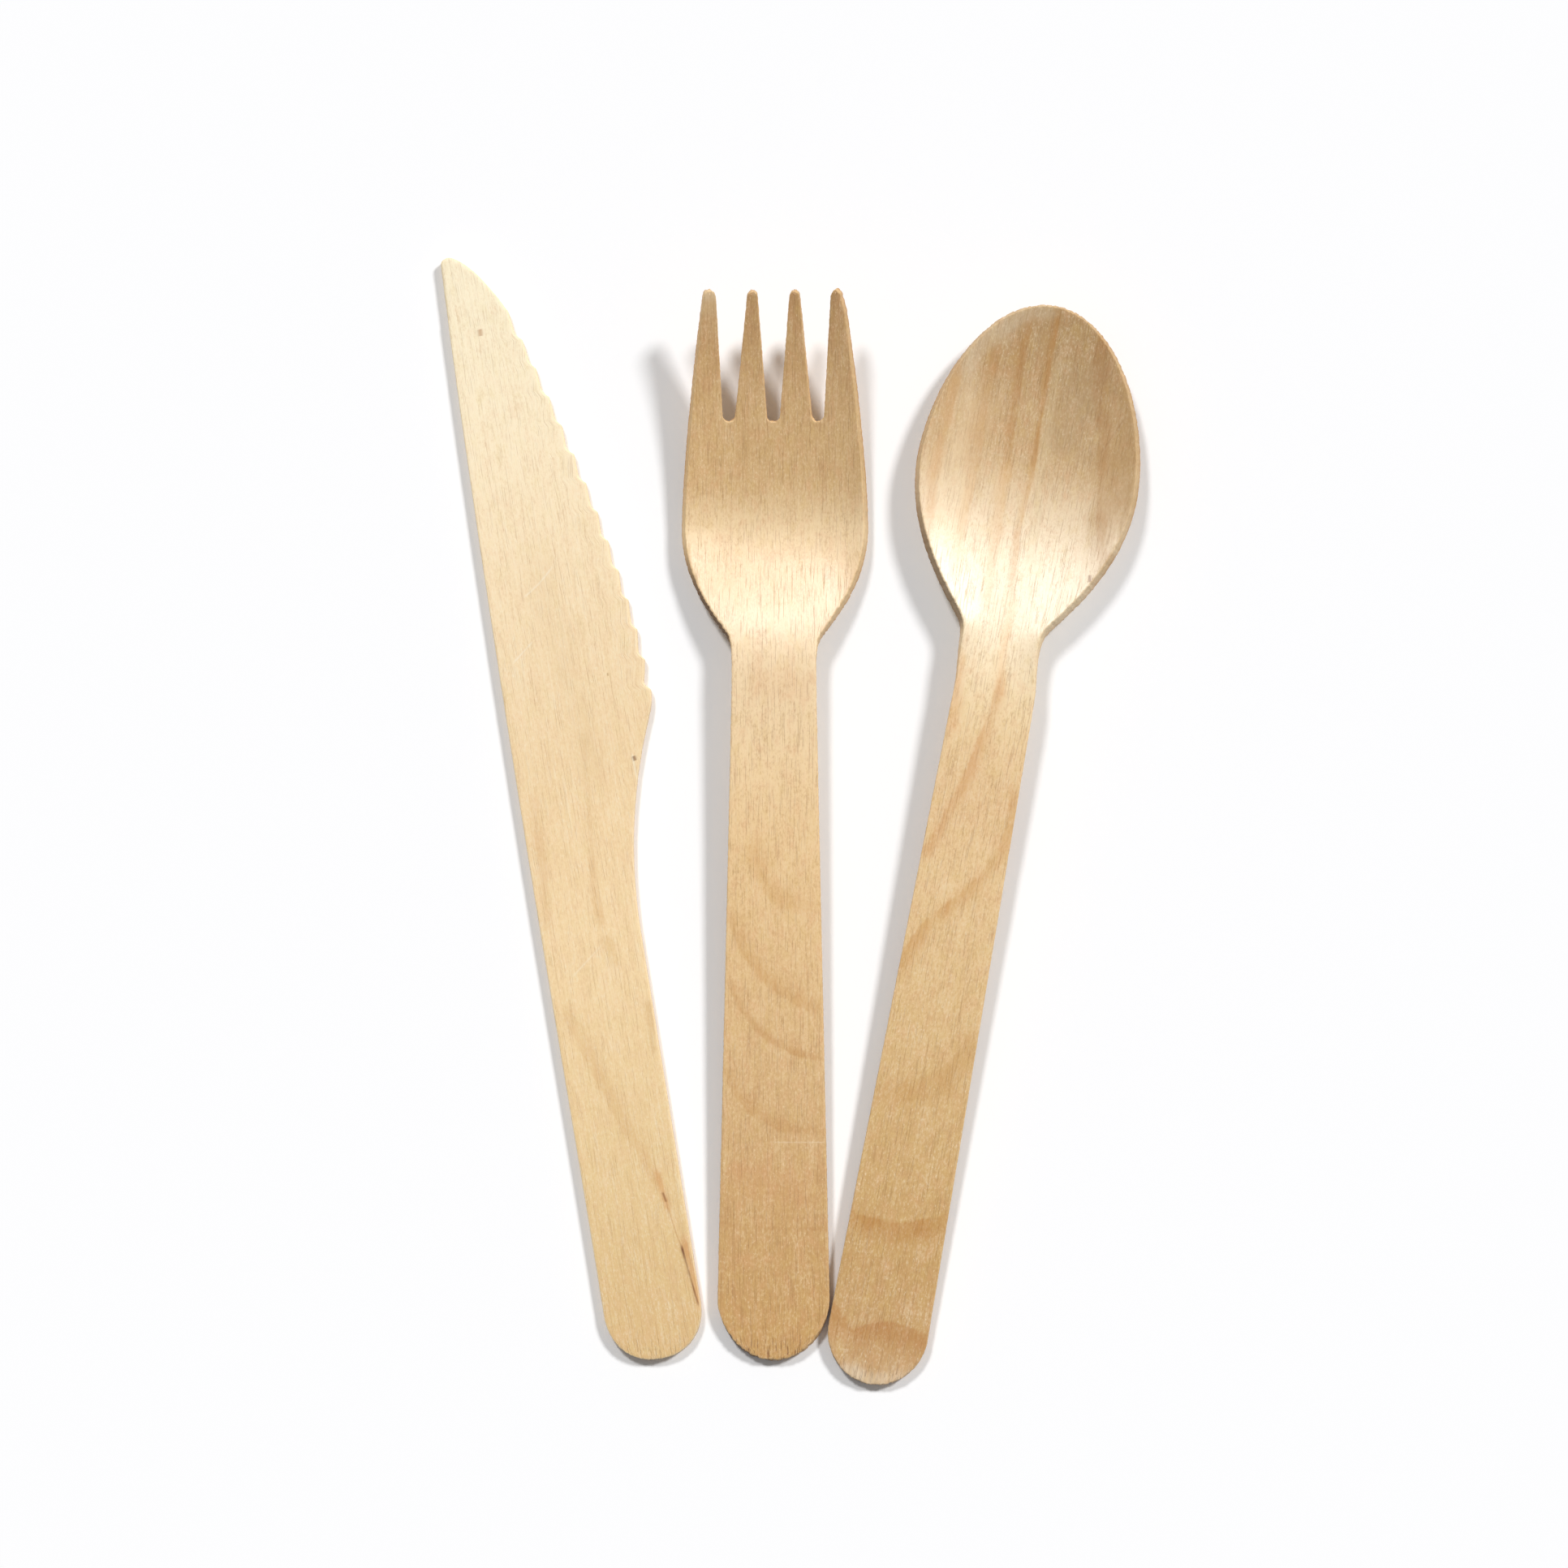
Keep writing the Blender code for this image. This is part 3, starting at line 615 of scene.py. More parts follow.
def veneer(name, length, shades, streaks, look):
    """Material of one piece: a shade that drifts along it, partly painted sheen, grain, streaks and
    cut edges with painted highlight and shade.
    """
    wood = bpy.data.materials.new(name)
    wood.use_nodes = True
    tree = wood.node_tree
    surface = tree.nodes["Principled BSDF"]
    blank = tree.nodes.new("ShaderNodeUVMap")
    blank.uv_map = "blank"
    stored = {}
    for label in ("depth", "cut", "way_in"):
        stored[label] = tree.nodes.new("ShaderNodeAttribute")
        stored[label].attribute_name = label
    depth = Quantity(tree, stored["depth"].outputs["Fac"])
    edge = Quantity(tree, stored["cut"].outputs["Fac"])
    _, over_grain, _ = parts_of(tree, stored["way_in"].outputs["Vector"])

    grain = tree.nodes.new("ShaderNodeGroup")
    grain.node_tree = birch_grain
    tree.links.new(blank.outputs[0], grain.inputs["Blank"])
    tree.links.new(depth.socket, grain.inputs["Depth"])
    grain.inputs["Seed"].default_value = look["seed"]
    grain.inputs["Ring Width"].default_value = look["ring_width"]
    seen = {output.name: Quantity(tree, output) for output in grain.outputs}

    aside, along, _ = parts_of(tree, blank.outputs[0])
    drift = tree.nodes.new("ShaderNodeValToRGB")
    drift.color_ramp.interpolation = 'CARDINAL'
    stops = drift.color_ramp.elements
    while len(stops) < len(shades):
        stops.new(0.5)
    for stop, (where, shade) in zip(stops, shades):
        stop.position = where
        stop.color = linear(*shade)
    tree.links.new((along / length).socket, drift.inputs["Fac"])
    colour = drift.outputs["Color"]

    # layers of colour, from the wood's own to the cut sides' painted highlight, painted shade and
    # darkened end grain
    warm = (seen["Warmth"] - 0.5) * look["warmth"]
    tone = ((seen["Fibres"] - 0.5) * look["fibres"] + (seen["Fleck"] - 0.5) * look["fleck"]
            + (seen["Blotches"] - 0.5) * look["blotches"] + (seen["Rings"] - 0.5) * look["rings"])
    layers = [(larger(warm, 0.0), look["pink"]),
              (larger(-warm, 0.0), look["yellow"]),
              (larger(-tone, 0.0), look["dark"]),
              (larger(tone, 0.0) + seen["Glints"] * look["glints"], look["pale"]),
              (seen["Pores"] * look["pores"] + seen["Checks"] * look["checks"],
               look["pore_colour"])]
    for *way, soft_side, strength, shade in streaks:
        line = tree.nodes.new("ShaderNodeGroup")
        line.node_tree = wood_streak
        tree.links.new(blank.outputs[0], line.inputs["Blank"])
        for label, value in zip(("From X", "From Y", "To X", "To Y", "Bow", "Width", "Fray"), way):
            line.inputs[label].default_value = value * MILLIMETRE
        line.inputs["Soft Side"].default_value = soft_side
        layers.append((Quantity(tree, line.outputs["Mask"]) * strength, shade))
    pale = ramp((depth - LIT_TOP_FROM) / LIT_TOP_RUN)
    unworn = 1.0 - ramp((depth - WORN_FROM) / WORN_RUN)
    striped = seen["Fibres"] * (1.0 - PLAIN_SHARE) + PLAIN_SHARE
    # end grain is darker, and on the left-hand side much darker: that extra darkness is painted
    # shade
    dark = RIGHT_SIDE_END_GRAIN + ramp(0.5 - aside * LEFT_SHADE_TURN) * (1.0 - RIGHT_SIDE_END_GRAIN)
    end_grain_and_left_shade = unworn * dark * ramp(over_grain * OVER_GRAIN_SPREAD)
    # painted highlight: the upper part of each cut side is made paler, as if lit from above
    layers += [(edge * pale * look["rim"], look["painted_rim_light_colour"]),
               # the lower part of each cut side is darker: darker cut fibres together with painted
               # shade, as if lit only from above
               (edge * (1.0 - pale) * striped * look["edge"], look["low_edge_and_shade_colour"]),
               # darker end grain, with painted shade on the left-hand side
               (edge * end_grain_and_left_shade * look["end_grain_and_left_shade"], look["end_grain_and_left_shade_colour"])]
    for share, shade in layers:
        colour = mixed(tree, share, colour, linear(*shade))

    rough = (seen["Fibres"] - 0.5) * ROUGH_FIBRES + look["roughness"]
    rough = rough + seen["Pores"] * ROUGH_PORES + edge * ROUGH_EDGE
    shine = (1.0 - edge * DULL_EDGE) * look["shine"]
    across_grain = tree.nodes.new("ShaderNodeTangent")
    across_grain.direction_type = 'UV_MAP'
    across_grain.uv_map = "blank"
    bump = tree.nodes.new("ShaderNodeBump")
    bump.inputs["Distance"].default_value = look["relief"]
    tree.links.new(grain.outputs["Height"], bump.inputs["Height"])
    for label, value in (("Base Color", colour), ("Roughness", rough),
                         ("Specular IOR Level", shine), ("Anisotropic", look["along_grain"]),
                         ("Tangent", across_grain.outputs[0]), ("Normal", bump.outputs["Normal"])):
        feed(tree, surface.inputs[label], value)
    return wood


# shades from the handle's end (0) to the tip (1)
KNIFE_SHADES = ((0.0, (219, 183, 129)), (0.12, (227, 195, 142)), (0.35, (242, 212, 164)),
                (0.55, (241, 212, 167)), (0.78, (250, 229, 192)), (1.0, (251, 238, 206)))
KNIFE_LOOK = {
    "seed": 11.0, "ring_width": 0.0045,
    "rings": 0.06, "fibres": 1.2, "fleck": 1.0, "blotches": 0.45, "warmth": 1.0, "glints": 0.25,
    "dark": (205, 166, 116), "pale": (251, 240, 213),
    "pink": (236, 197, 159), "yellow": (232, 209, 151),
    "pores": 0.22, "checks": 0.1, "pore_colour": (176, 129, 77),
    # rim: painted highlight on the top-lit upper part of the cut sides
    "rim": 0.6, "painted_rim_light_colour": (251, 230, 189),
    # edge: darker lower cut side, partly cut fibres and partly painted shade
    "edge": 0.6, "low_edge_and_shade_colour": (211, 161, 119),
    # end grain: darker end grain, with painted shade on the left-hand side
    "end_grain_and_left_shade": 0.45, "end_grain_and_left_shade_colour": (124, 84, 56),
    "roughness": 0.42, "shine": 0.5, "along_grain": 0.4, "relief": 0.00004,
}
# streaks: from, to, bow, width and fray in millimetres; how much softer one side is;
# strength; colour
MILLIMETRE = 0.001
KNIFE_STREAKS = (
    (3.7, 24.9, -5.9, 52.4, -0.25, 0.55, 0.7, 2.2, 0.28, (201, 151, 87)),
    (3.8, 27.0, 4.6, 21.0, 0.0, 0.4, 0.15, 1.0, 0.4, (206, 138, 74)),
    (4.2, 23.7, 4.5, 22.3, 0.0, 0.14, 0.05, 1.0, 0.62, (119, 61, 0)),
    (4.5, 22.5, 5.7, 15.2, 0.1, 0.07, 0.08, 1.5, 0.35, (170, 112, 53)),
    (6.1, 16.5, 7.0, 6.8, 0.0, 0.42, 0.15, 1.0, 0.55, (201, 134, 72)),
    (5.7, 15.6, 6.25, 11.0, 0.0, 0.1, 0.06, 2.0, 0.85, (101, 44, 0)),
    (6.25, 11.0, 6.8, 6.9, 0.0, 0.09, 0.06, 2.0, 0.75, (112, 56, 0)),
    (6.6, 51.5, 6.2, 44.0, 0.0, 0.6, 0.4, 1.0, 0.3, (191, 147, 84)),
    (3.6, 91.6, 1.8, 71.0, 0.0, 0.14, 0.15, 4.0, 0.15, (184, 132, 67)),
    (2.0, 73.2, 1.7, 63.4, 0.2, 0.45, 0.5, 1.6, 0.26, (201, 144, 72)),
    (1.9, 61.9, 2.5, 57.3, 0.0, 0.65, 0.5, 1.3, 0.24, (197, 149, 74)),
    (-5.3, 84.0, -6.1, 64.0, 0.0, 0.6, 0.5, 1.5, 0.22, (201, 151, 96)),
    (0.8, 120.0, 4.2, 84.0, 0.0, 2.0, 1.2, 1.0, 0.22, (222, 190, 142)),
    (-1.85, 113.1, 2.6, 116.6, 0.2, 0.1, 0.0, 1.0, 0.4, (251, 242, 222)),
    (-4.9, 103.8, -2.1, 106.1, 0.0, 0.12, 0.0, 1.0, 0.45, (251, 242, 222)),
    (1.0, 60.5, -3.6, 56.9, 0.0, 0.11, 0.0, 1.0, 0.35, (251, 240, 215)),
    (10.0, 87.4, 10.2, 83.6, 0.0, 0.14, 0.05, 1.0, 0.8, (251, 236, 205)),
    (10.15, 87.2, 10.3, 86.5, 0.0, 0.22, 0.1, 1.0, 0.8, (110, 56, 0)),
    (-2.2, 153.5, -2.15, 152.5, 0.0, 0.3, 0.1, 1.5, 0.75, (170, 116, 64)),
    (8.3, 99.9, 8.35, 99.5, 0.0, 0.12, 0.0, 1.0, 0.7, (142, 93, 39)),
)


def knife_wear(x, y):
    """Radius worn onto the knife's edge: the saw edge and tip are worn most."""
    on_saw = x > TIP_START_REACH - SAW_WEAR_OVERLAP or y > TIP_START
    share = ramp((y - HEEL_PLACE) / SAW_WEAR_RUN) if on_saw else 0.0
    return HANDLE_WEAR + (SAW_WEAR - HANDLE_WEAR) * share


def teeth_tree(settings):
    """Saw the blade's edge: long flanks along the grain, short ones across it."""
    tree, given, asked, result = new_tree("saw teeth", 'GeometryNodeTree', SHAPE_TAKES,
                                          settings, SHAPE_GIVES)
    x, y, depth = worn_outline(tree, asked)
    first = HEEL_PLACE + HEEL_ROUND
    tooth_place = (y - first) / ((TIP_START - first) / asked["Teeth"])
    tooth = tooth_place.step('FLOOR', tooth_place)
    station = tooth_place - tooth
    short = 1.0 - asked["Long Flank"]
    rise = smaller(station / short, 1.0)
    cut = rise * (2.0 - rise)
    back = 1.0 - (station - short) / asked["Long Flank"]
    on_short = below(station, short)
    cut = cut * on_short + back * (1.0 - on_short)
    share = tooth / (asked["Teeth"] - 1.0)
    luck = tree.nodes.new("ShaderNodeTexWhiteNoise")
    luck.noise_dimensions = '1D'
    tree.links.new((tooth + asked["Seed"]).socket, luck.inputs["W"])
    uneven = 1.0 - asked["Unevenness"] * Quantity(tree, luck.outputs["Value"])
    depth_gain = asked["Tooth Depth At Tip"] - asked["Tooth Depth"]
    deep = (asked["Tooth Depth"] + depth_gain * share) * uneven
    behind = ramp((edge_line(y) - x - TOOTH_FADE_START) / TOOTH_FADE_RUN)
    on_edge = below(-y, -first) * below(y, TIP_START) * (1.0 - behind)
    finish_tree(tree, given, result, x - deep * cut * on_edge, y, depth * SHEET)
    return tree


TEETH = {"Teeth": float(TOOTH_COUNT), "Long Flank": TOOTH_LONG_FLANK, "Tooth Depth": TOOTH_DEPTH,
         "Tooth Depth At Tip": TOOTH_DEPTH_AT_TIP, "Unevenness": 0.35,
         "Waviness": 0.00006, "Raggedness": 0.00003, "Slant": 0.00008, "Seed": 4.0}
knife_wood = veneer("knife_birch", KNIFE_LENGTH, KNIFE_SHADES, KNIFE_STREAKS, KNIFE_LOOK)
knife = cut_blank("wooden_knife", knife_outline(), knife_wear)
knife = laid(shaped(knife, teeth_tree(TEETH), TEETH, knife_wood), KNIFE_PLACE, KNIFE_LEAN)
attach(knife, "root")
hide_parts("knife")


# Fork
# One sheet of birch veneer, die-cut with three slots, then pressed in a hot die.
# The press drops the head below the handle, dishes it and lifts the tine tips.

FORK_LENGTH = 0.156
FORK_END_WIDTH = 0.0163
FORK_NECK_WIDTH = 0.0122
FORK_END_LENGTH = 0.0092
FORK_HEAD_WIDTH = 0.0275
FORK_HEAD_WIDEST = 0.1215
FORK_SHOULDER_REACH = 0.0171
FORK_SHOULDER_FALL = 2.05
FORK_NECK = 0.101
FORK_TIP_WIDTH = 0.0205
FORK_SIDE_FALL = 1.53
NECK_FILLET = 0.0012
SLOT_COUNT = 3
SLOT_ROOT = 0.1374
SLOT_ROOT_WIDTH = 0.0017
SLOT_TIP_WIDTH = 0.0047
SLOT_ROOT_PITCH = 0.00667
SLOT_TIP_PITCH = 0.0062
SLOT_SHIFT = -0.0002
TINE_TIP_ROUND = 0.001
CHIP_START = 0.1526  # the right tine has lost a corner
CHIP_DEPTH = 0.0003
SIDE_POINTS = 400
TINE_POINTS = 16
FORK_PRESS_START = 0.0975
FORK_PRESS_END = 0.1245
FORK_LIFT_START = 0.1205
FORK_PLACE = (-0.002188, -0.079436)
FORK_LEAN = radians(-0.1)


def handle_half_width(y, end_width, neck_width, end_length, neck):
    """Straight taper of a handle from its round end to its neck."""
    return (end_width + (neck_width - end_width) * ((y - end_length) / (neck - end_length))) * 0.5


def soft_max(a, b, softness):
    """The larger of two widths, with the corner between them rounded."""
    return (a + b + root((a - b) * (a - b) + softness ** 2)) * 0.5


def fork_half_width(y):
    """Half of the fork's width beyond its round end, tines and slots taken together."""
    handle = handle_half_width(y, FORK_END_WIDTH, FORK_NECK_WIDTH, FORK_END_LENGTH, FORK_NECK)
    widest = 0.5 * FORK_HEAD_WIDTH
    before = larger(FORK_HEAD_WIDEST - y, 0.0) / FORK_SHOULDER_REACH
    beyond = larger(y - FORK_HEAD_WIDEST, 0.0) / (FORK_LENGTH - FORK_HEAD_WIDEST)
    head = widest - (widest - 0.5 * FORK_NECK_WIDTH) * before ** FORK_SHOULDER_FALL
    head -= 0.5 * (FORK_HEAD_WIDTH - FORK_TIP_WIDTH) * beyond ** FORK_SIDE_FALL
    return soft_max(handle, head, NECK_FILLET)


def slot_sides(slot, y):
    """Left and right side of one slot at y."""
    run = (y - SLOT_ROOT) / (FORK_LENGTH - SLOT_ROOT)
    width = SLOT_ROOT_WIDTH + (SLOT_TIP_WIDTH - SLOT_ROOT_WIDTH) * run
    pitch = SLOT_ROOT_PITCH + (SLOT_TIP_PITCH - SLOT_ROOT_PITCH) * run
    centre = SLOT_SHIFT * (1.0 - run) + (slot - 0.5 * (SLOT_COUNT - 1)) * pitch
    return centre - 0.5 * width, centre + 0.5 * width


def chip(y):
    """How much of the right tine's outer side is missing at y."""
    return CHIP_DEPTH * ramp((y - CHIP_START) / (FORK_LENGTH - CHIP_START))


def half_round(low, high, y, rise):
    """Points of a round tip or, with a rise below 0, of a slot's round root."""
    return [(0.5 * (low + high) + 0.5 * (high - low) * cos(angle), y + rise * sin(angle))
            for angle in spread(0.0, pi, TINE_POINTS)[1:-1]]


def fork_outline():
    """Outline of the fork, anticlockwise from the middle of the handle's end."""
    end = round_end(0.5 * FORK_END_WIDTH, FORK_END_LENGTH, 2.0)
    top = FORK_LENGTH - TINE_TIP_ROUND
    levels = spread(FORK_END_LENGTH, top, SIDE_POINTS)
    right = [(fork_half_width(y) - chip(y), y) for y in levels]
    left = [(-fork_half_width(y), y) for y in levels]
    root_centre = SLOT_ROOT + 0.5 * SLOT_ROOT_WIDTH
    points = end + right[1:]
    for tine in range(SLOT_COUNT, -1, -1):
        outermost = fork_half_width(top) - chip(top)
        right_side = slot_sides(tine, top)[0] if tine < SLOT_COUNT else outermost
        left_side = slot_sides(tine - 1, top)[1] if tine else -fork_half_width(top)
        points += half_round(left_side, right_side, top, TINE_TIP_ROUND)
        if not tine:
            break
        points += [(slot_sides(tine - 1, y)[1], y) for y in spread(top, root_centre, CURVE_POINTS)]
        low, high = slot_sides(tine - 1, root_centre)
        points += half_round(low, high, root_centre, -0.5 * SLOT_ROOT_WIDTH)
        points += [(slot_sides(tine - 1, y)[0], y) for y in spread(root_centre, top, CURVE_POINTS)]
    return points + left[::-1] + [(-x, y) for x, y in end[-2:0:-1]]


FORK_DIE = {"Drop": 0.0046, "Lift": 0.0077, "Lift Curve": 1.75, "Dish": 0.0019, "Dish Curve": 3.0,
            "Waviness": 0.00006, "Raggedness": 0.00008, "Slant": 0.00028, "Seed": 17.0}


def fork_press(x, y, die):
    """Height of the pressed fork's underside above the plane of its handle."""
    drop = die["Drop"] * ramp((y - FORK_PRESS_START) / (FORK_PRESS_END - FORK_PRESS_START))
    run = larger(y - FORK_LIFT_START, 0.0) / (FORK_LENGTH - FORK_LIFT_START)
    lift = die["Lift"] * run ** die["Lift Curve"]
    side = abs(x) / (0.5 * FORK_HEAD_WIDTH)
    dish = die["Dish"] * ramp((y - FORK_NECK) / (FORK_HEAD_WIDEST - FORK_NECK))
    return lift - drop + dish * side ** die["Dish Curve"]


SLOPE_REACH = 0.00005  # distance over which a die's slope is taken


def press_tree(name, press, settings):
    """Press a worn blank: its underside follows the die, its upper face lies one sheet above."""
    tree, given, asked, result = new_tree(name, 'GeometryNodeTree', SHAPE_TAKES,
                                          settings, SHAPE_GIVES)
    x, y, depth = worn_outline(tree, asked)
    low = press(x, y, asked)
    slope_x = (press(x + SLOPE_REACH, y, asked) - low) / SLOPE_REACH
    slope_y = (press(x, y + SLOPE_REACH, asked) - low) / SLOPE_REACH
    up = depth * SHEET / root(slope_x * slope_x + slope_y * slope_y + 1.0)
    finish_tree(tree, given, result, x - slope_x * up, y - slope_y * up, low + up)
    return tree


def resting_tilt(outline, press, die):
    """Tilt at which a pressed piece stands on its handle end and on its head."""
    places = [(x * share, y) for x, y in outline if y > SHEET for share in (0.0, 0.5, 1.0)]
    return max(atan(-press(x, y, die) / y) for x, y in places)


# shades from the handle's end (0) to the tips of the tines (1); the pale stops at 0.68 and 0.775
# are painted sheen on the neck slope, and the darker stop at 0.73 between them is painted shade
# that tones this sheen down
FORK_TONES_AND_SHEEN = ((0.0, (193, 148, 84)), (0.2, (207, 167, 112)), (0.5, (235, 200, 148)),
               (0.68, (241, 214, 173)), (0.73, (230, 196, 148)), (0.775, (236, 207, 162)),
               (0.82, (210, 174, 122)), (0.9, (206, 167, 113)), (1.0, (185, 141, 85)))
FORK_LOOK = {
    "seed": 23.0, "ring_width": 0.004,
    "rings": 0.05, "fibres": 1.0, "fleck": 1.4, "blotches": 0.6, "warmth": 1.4, "glints": 0.4,
    "dark": (170, 120, 57), "pale": (242, 215, 172),
    "pink": (215, 159, 110), "yellow": (209, 172, 98),
    "pores": 0.25, "checks": 0.75, "pore_colour": (130, 70, 0),
    # rim: painted highlight on the top-lit upper part of the cut sides
    "rim": 0.4, "painted_rim_light_colour": (240, 209, 163),
    # edge: darker lower cut side, partly cut fibres and partly painted shade
    "edge": 0.55, "low_edge_and_shade_colour": (207, 148, 100),
    # end grain: darker end grain, with painted shade on the left-hand side
    "end_grain_and_left_shade": 0.85, "end_grain_and_left_shade_colour": (84, 58, 42),
    "roughness": 0.39, "shine": 1.0, "along_grain": 0.6, "relief": 0.00005,
}
FORK_STREAKS = (
    (6.1, 65.4, -3.3, 74.9, -2.9, 0.8, 0.9, 2.2, 0.34, (198, 143, 64)),
    (6.1, 50.7, -6.6, 64.9, -2.4, 0.45, 0.5, 3.0, 0.36, (187, 130, 46)),
    (6.7, 43.7, -6.6, 54.8, -2.55, 0.3, 0.35, 2.5, 0.38, (179, 120, 41)),
    (6.7, 33.1, -7.2, 41.9, -2.7, 0.45, 0.5, 2.5, 0.32, (183, 125, 46)),
    (0.2, 31.7, 7.3, 31.7, 0.0, 0.1, 0.1, 1.0, 0.35, (242, 219, 183)),
    (-6.0, 27.0, 6.0, 24.0, 0.0, 2.6, 2.0, 1.0, 0.16, (207, 141, 87)),
    (-7.4, 20.2, 7.3, 19.4, 0.4, 0.18, 0.2, 2.5, 0.28, (174, 118, 50)),
    (-4.5, 8.0, -4.5, 5.0, 0.0, 0.28, 0.2, 1.0, 0.4, (134, 76, 0)),
    (-3.6, 98.5, 5.2, 98.0, 0.0, 2.0, 1.6, 1.0, 0.2, (215, 150, 87)),
    (-9.9, 159.5, -9.8, 154.6, 0.0, 1.5, 0.4, 1.0, 0.5, (234, 211, 172)),
    (-9.9, 159.5, -9.7, 152.4, 0.0, 1.5, 0.4, 1.0, 0.3, (230, 202, 159)),
    (-9.8, 159.5, -9.6, 149.8, 0.0, 1.5, 0.4, 1.0, 0.18, (228, 198, 152)),
)

fork_wood = veneer("fork_birch", FORK_LENGTH, FORK_TONES_AND_SHEEN, FORK_STREAKS, FORK_LOOK)
fork = cut_blank("wooden_fork", fork_outline(), lambda x, y: HANDLE_WEAR)
fork = shaped(fork, press_tree("fork press", fork_press, FORK_DIE), FORK_DIE, fork_wood)
fork_tilt = resting_tilt(fork_outline(), fork_press, FORK_DIE)
fork = laid(fork, FORK_PLACE, FORK_LEAN, fork_tilt)
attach(fork, "root")
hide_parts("fork")


# Spoon
# One sheet of birch veneer, die-cut, then pressed hot into a shallow oval bowl.
# The bowl has one thickness throughout and points slightly to the left.

SPOON_LENGTH = 0.1597
SPOON_END_WIDTH = 0.0146
SPOON_NECK_WIDTH = 0.0117
SPOON_END_LENGTH = 0.0077
BOWL_WIDTH = 0.0329
BOWL_WIDEST = 0.1343
BOWL_TIP_FULLNESS = 1.79
BOWL_SHOULDER_REACH = 0.0233
BOWL_SHOULDER_FALL = 2.04
SPOON_NECK = 0.1095
SPOON_PRESS_START = 0.0952
SPOON_PRESS_END = 0.137
BOWL_TURN_START = 0.101
BOWL_TURN = radians(1.0)
BOWL_TURN_PIVOT = 0.08
BOWL_TURN_RUN = 0.008
BOWL_TIP_POINTS = 80
SPOON_PLACE = (0.011525, -0.082732)
SPOON_LEAN = radians(-10.5)


def spoon_half_width(y):
    """Half of the spoon's width up to the widest part of its bowl, and that width beyond."""
    handle = handle_half_width(y, SPOON_END_WIDTH, SPOON_NECK_WIDTH, SPOON_END_LENGTH, SPOON_NECK)
    widest = 0.5 * BOWL_WIDTH
    run = larger(BOWL_WIDEST - y, 0.0) / BOWL_SHOULDER_REACH
    bowl = widest - (widest - 0.5 * SPOON_NECK_WIDTH) * run ** BOWL_SHOULDER_FALL
    return soft_max(handle, bowl, NECK_FILLET)


def bowl_drift(y):
    """Sideways shift of the bowl's middle line, which turns the bowl a little."""
    return (BOWL_TURN_PIVOT - y) * tan(BOWL_TURN) * ramp((y - BOWL_TURN_START) / BOWL_TURN_RUN)


def spoon_outline():
    """Outline of the spoon, anticlockwise from the middle of the handle's end."""
    end = round_end(0.5 * SPOON_END_WIDTH, SPOON_END_LENGTH, 2.0)
    sides = [(spoon_half_width(y), y) for y in spread(SPOON_END_LENGTH, BOWL_WIDEST, SIDE_POINTS)]
    for angle in spread(0.0, 0.5 * pi, BOWL_TIP_POINTS)[1:]:
        y = BOWL_WIDEST + (SPOON_LENGTH - BOWL_WIDEST) * sin(angle) ** (2.0 / BOWL_TIP_FULLNESS)
        sides.append((0.5 * BOWL_WIDTH * cos(angle), y))
    right = [(bowl_drift(y) + half, y) for half, y in sides]
    left = [(bowl_drift(y) - half, y) for half, y in sides]
    return end + right[1:] + left[-2::-1] + [(-x, y) for x, y in end[-2:0:-1]]


SPOON_DIE = {"Bowl Drop": 0.0048, "Rim Drop": 0.0014,
             "Waviness": 0.00006, "Raggedness": 0.00006, "Slant": 0.00012, "Seed": 31.0}


def spoon_press(x, y, die):
    """Height of the pressed spoon's underside above the plane of its handle."""
    off_middle = x - bowl_drift(y)
    pressed = y - SPOON_PRESS_START
    rim = -die["Rim Drop"] * ramp(pressed / (SPOON_LENGTH - SPOON_PRESS_START))
    middle = -die["Bowl Drop"] * ramp(pressed / (SPOON_PRESS_END - SPOON_PRESS_START))
    side = off_middle / spoon_half_width(y)
    run = larger(y - BOWL_WIDEST, 0.0) / (SPOON_LENGTH - BOWL_WIDEST)
    return middle + (rim - middle) * (side * side + run * run)


# shades from the handle's end (0) to the tip of the bowl (1); the pale stops from 0.62 to 0.785 are
# a painted highlight on the neck and the rear of the bowl
SPOON_TONES_AND_SHEEN = ((0.0, (196, 155, 103)), (0.15, (200, 160, 100)), (0.45, (230, 195, 143)),
                (0.55, (230, 194, 144)), (0.62, (243, 214, 167)), (0.7, (248, 229, 196)),
                (0.785, (243, 222, 189)), (0.85, (210, 179, 136)), (0.92, (193, 158, 111)),
                (1.0, (176, 139, 88)))
SPOON_LOOK = {
    "seed": 37.0, "ring_width": 0.005,
    "rings": 0.05, "fibres": 0.9, "fleck": 1.4, "blotches": 0.7, "warmth": 1.4, "glints": 0.4,
    "dark": (172, 125, 64), "pale": (244, 223, 187),
    "pink": (219, 168, 122), "yellow": (213, 179, 108),
    "pores": 0.25, "checks": 0.15, "pore_colour": (134, 79, 0),
    # rim: painted highlight on the top-lit upper part of the cut sides
    "rim": 0.3, "painted_rim_light_colour": (238, 209, 168),
    # edge: darker lower cut side, partly cut fibres and partly painted shade
    "edge": 0.55, "low_edge_and_shade_colour": (207, 155, 110),
    # end grain: darker end grain, with painted shade on the left-hand side
    "end_grain_and_left_shade": 0.6, "end_grain_and_left_shade_colour": (96, 66, 46),
    "roughness": 0.42, "shine": 1.0, "along_grain": 0.8, "relief": 0.00005,
}
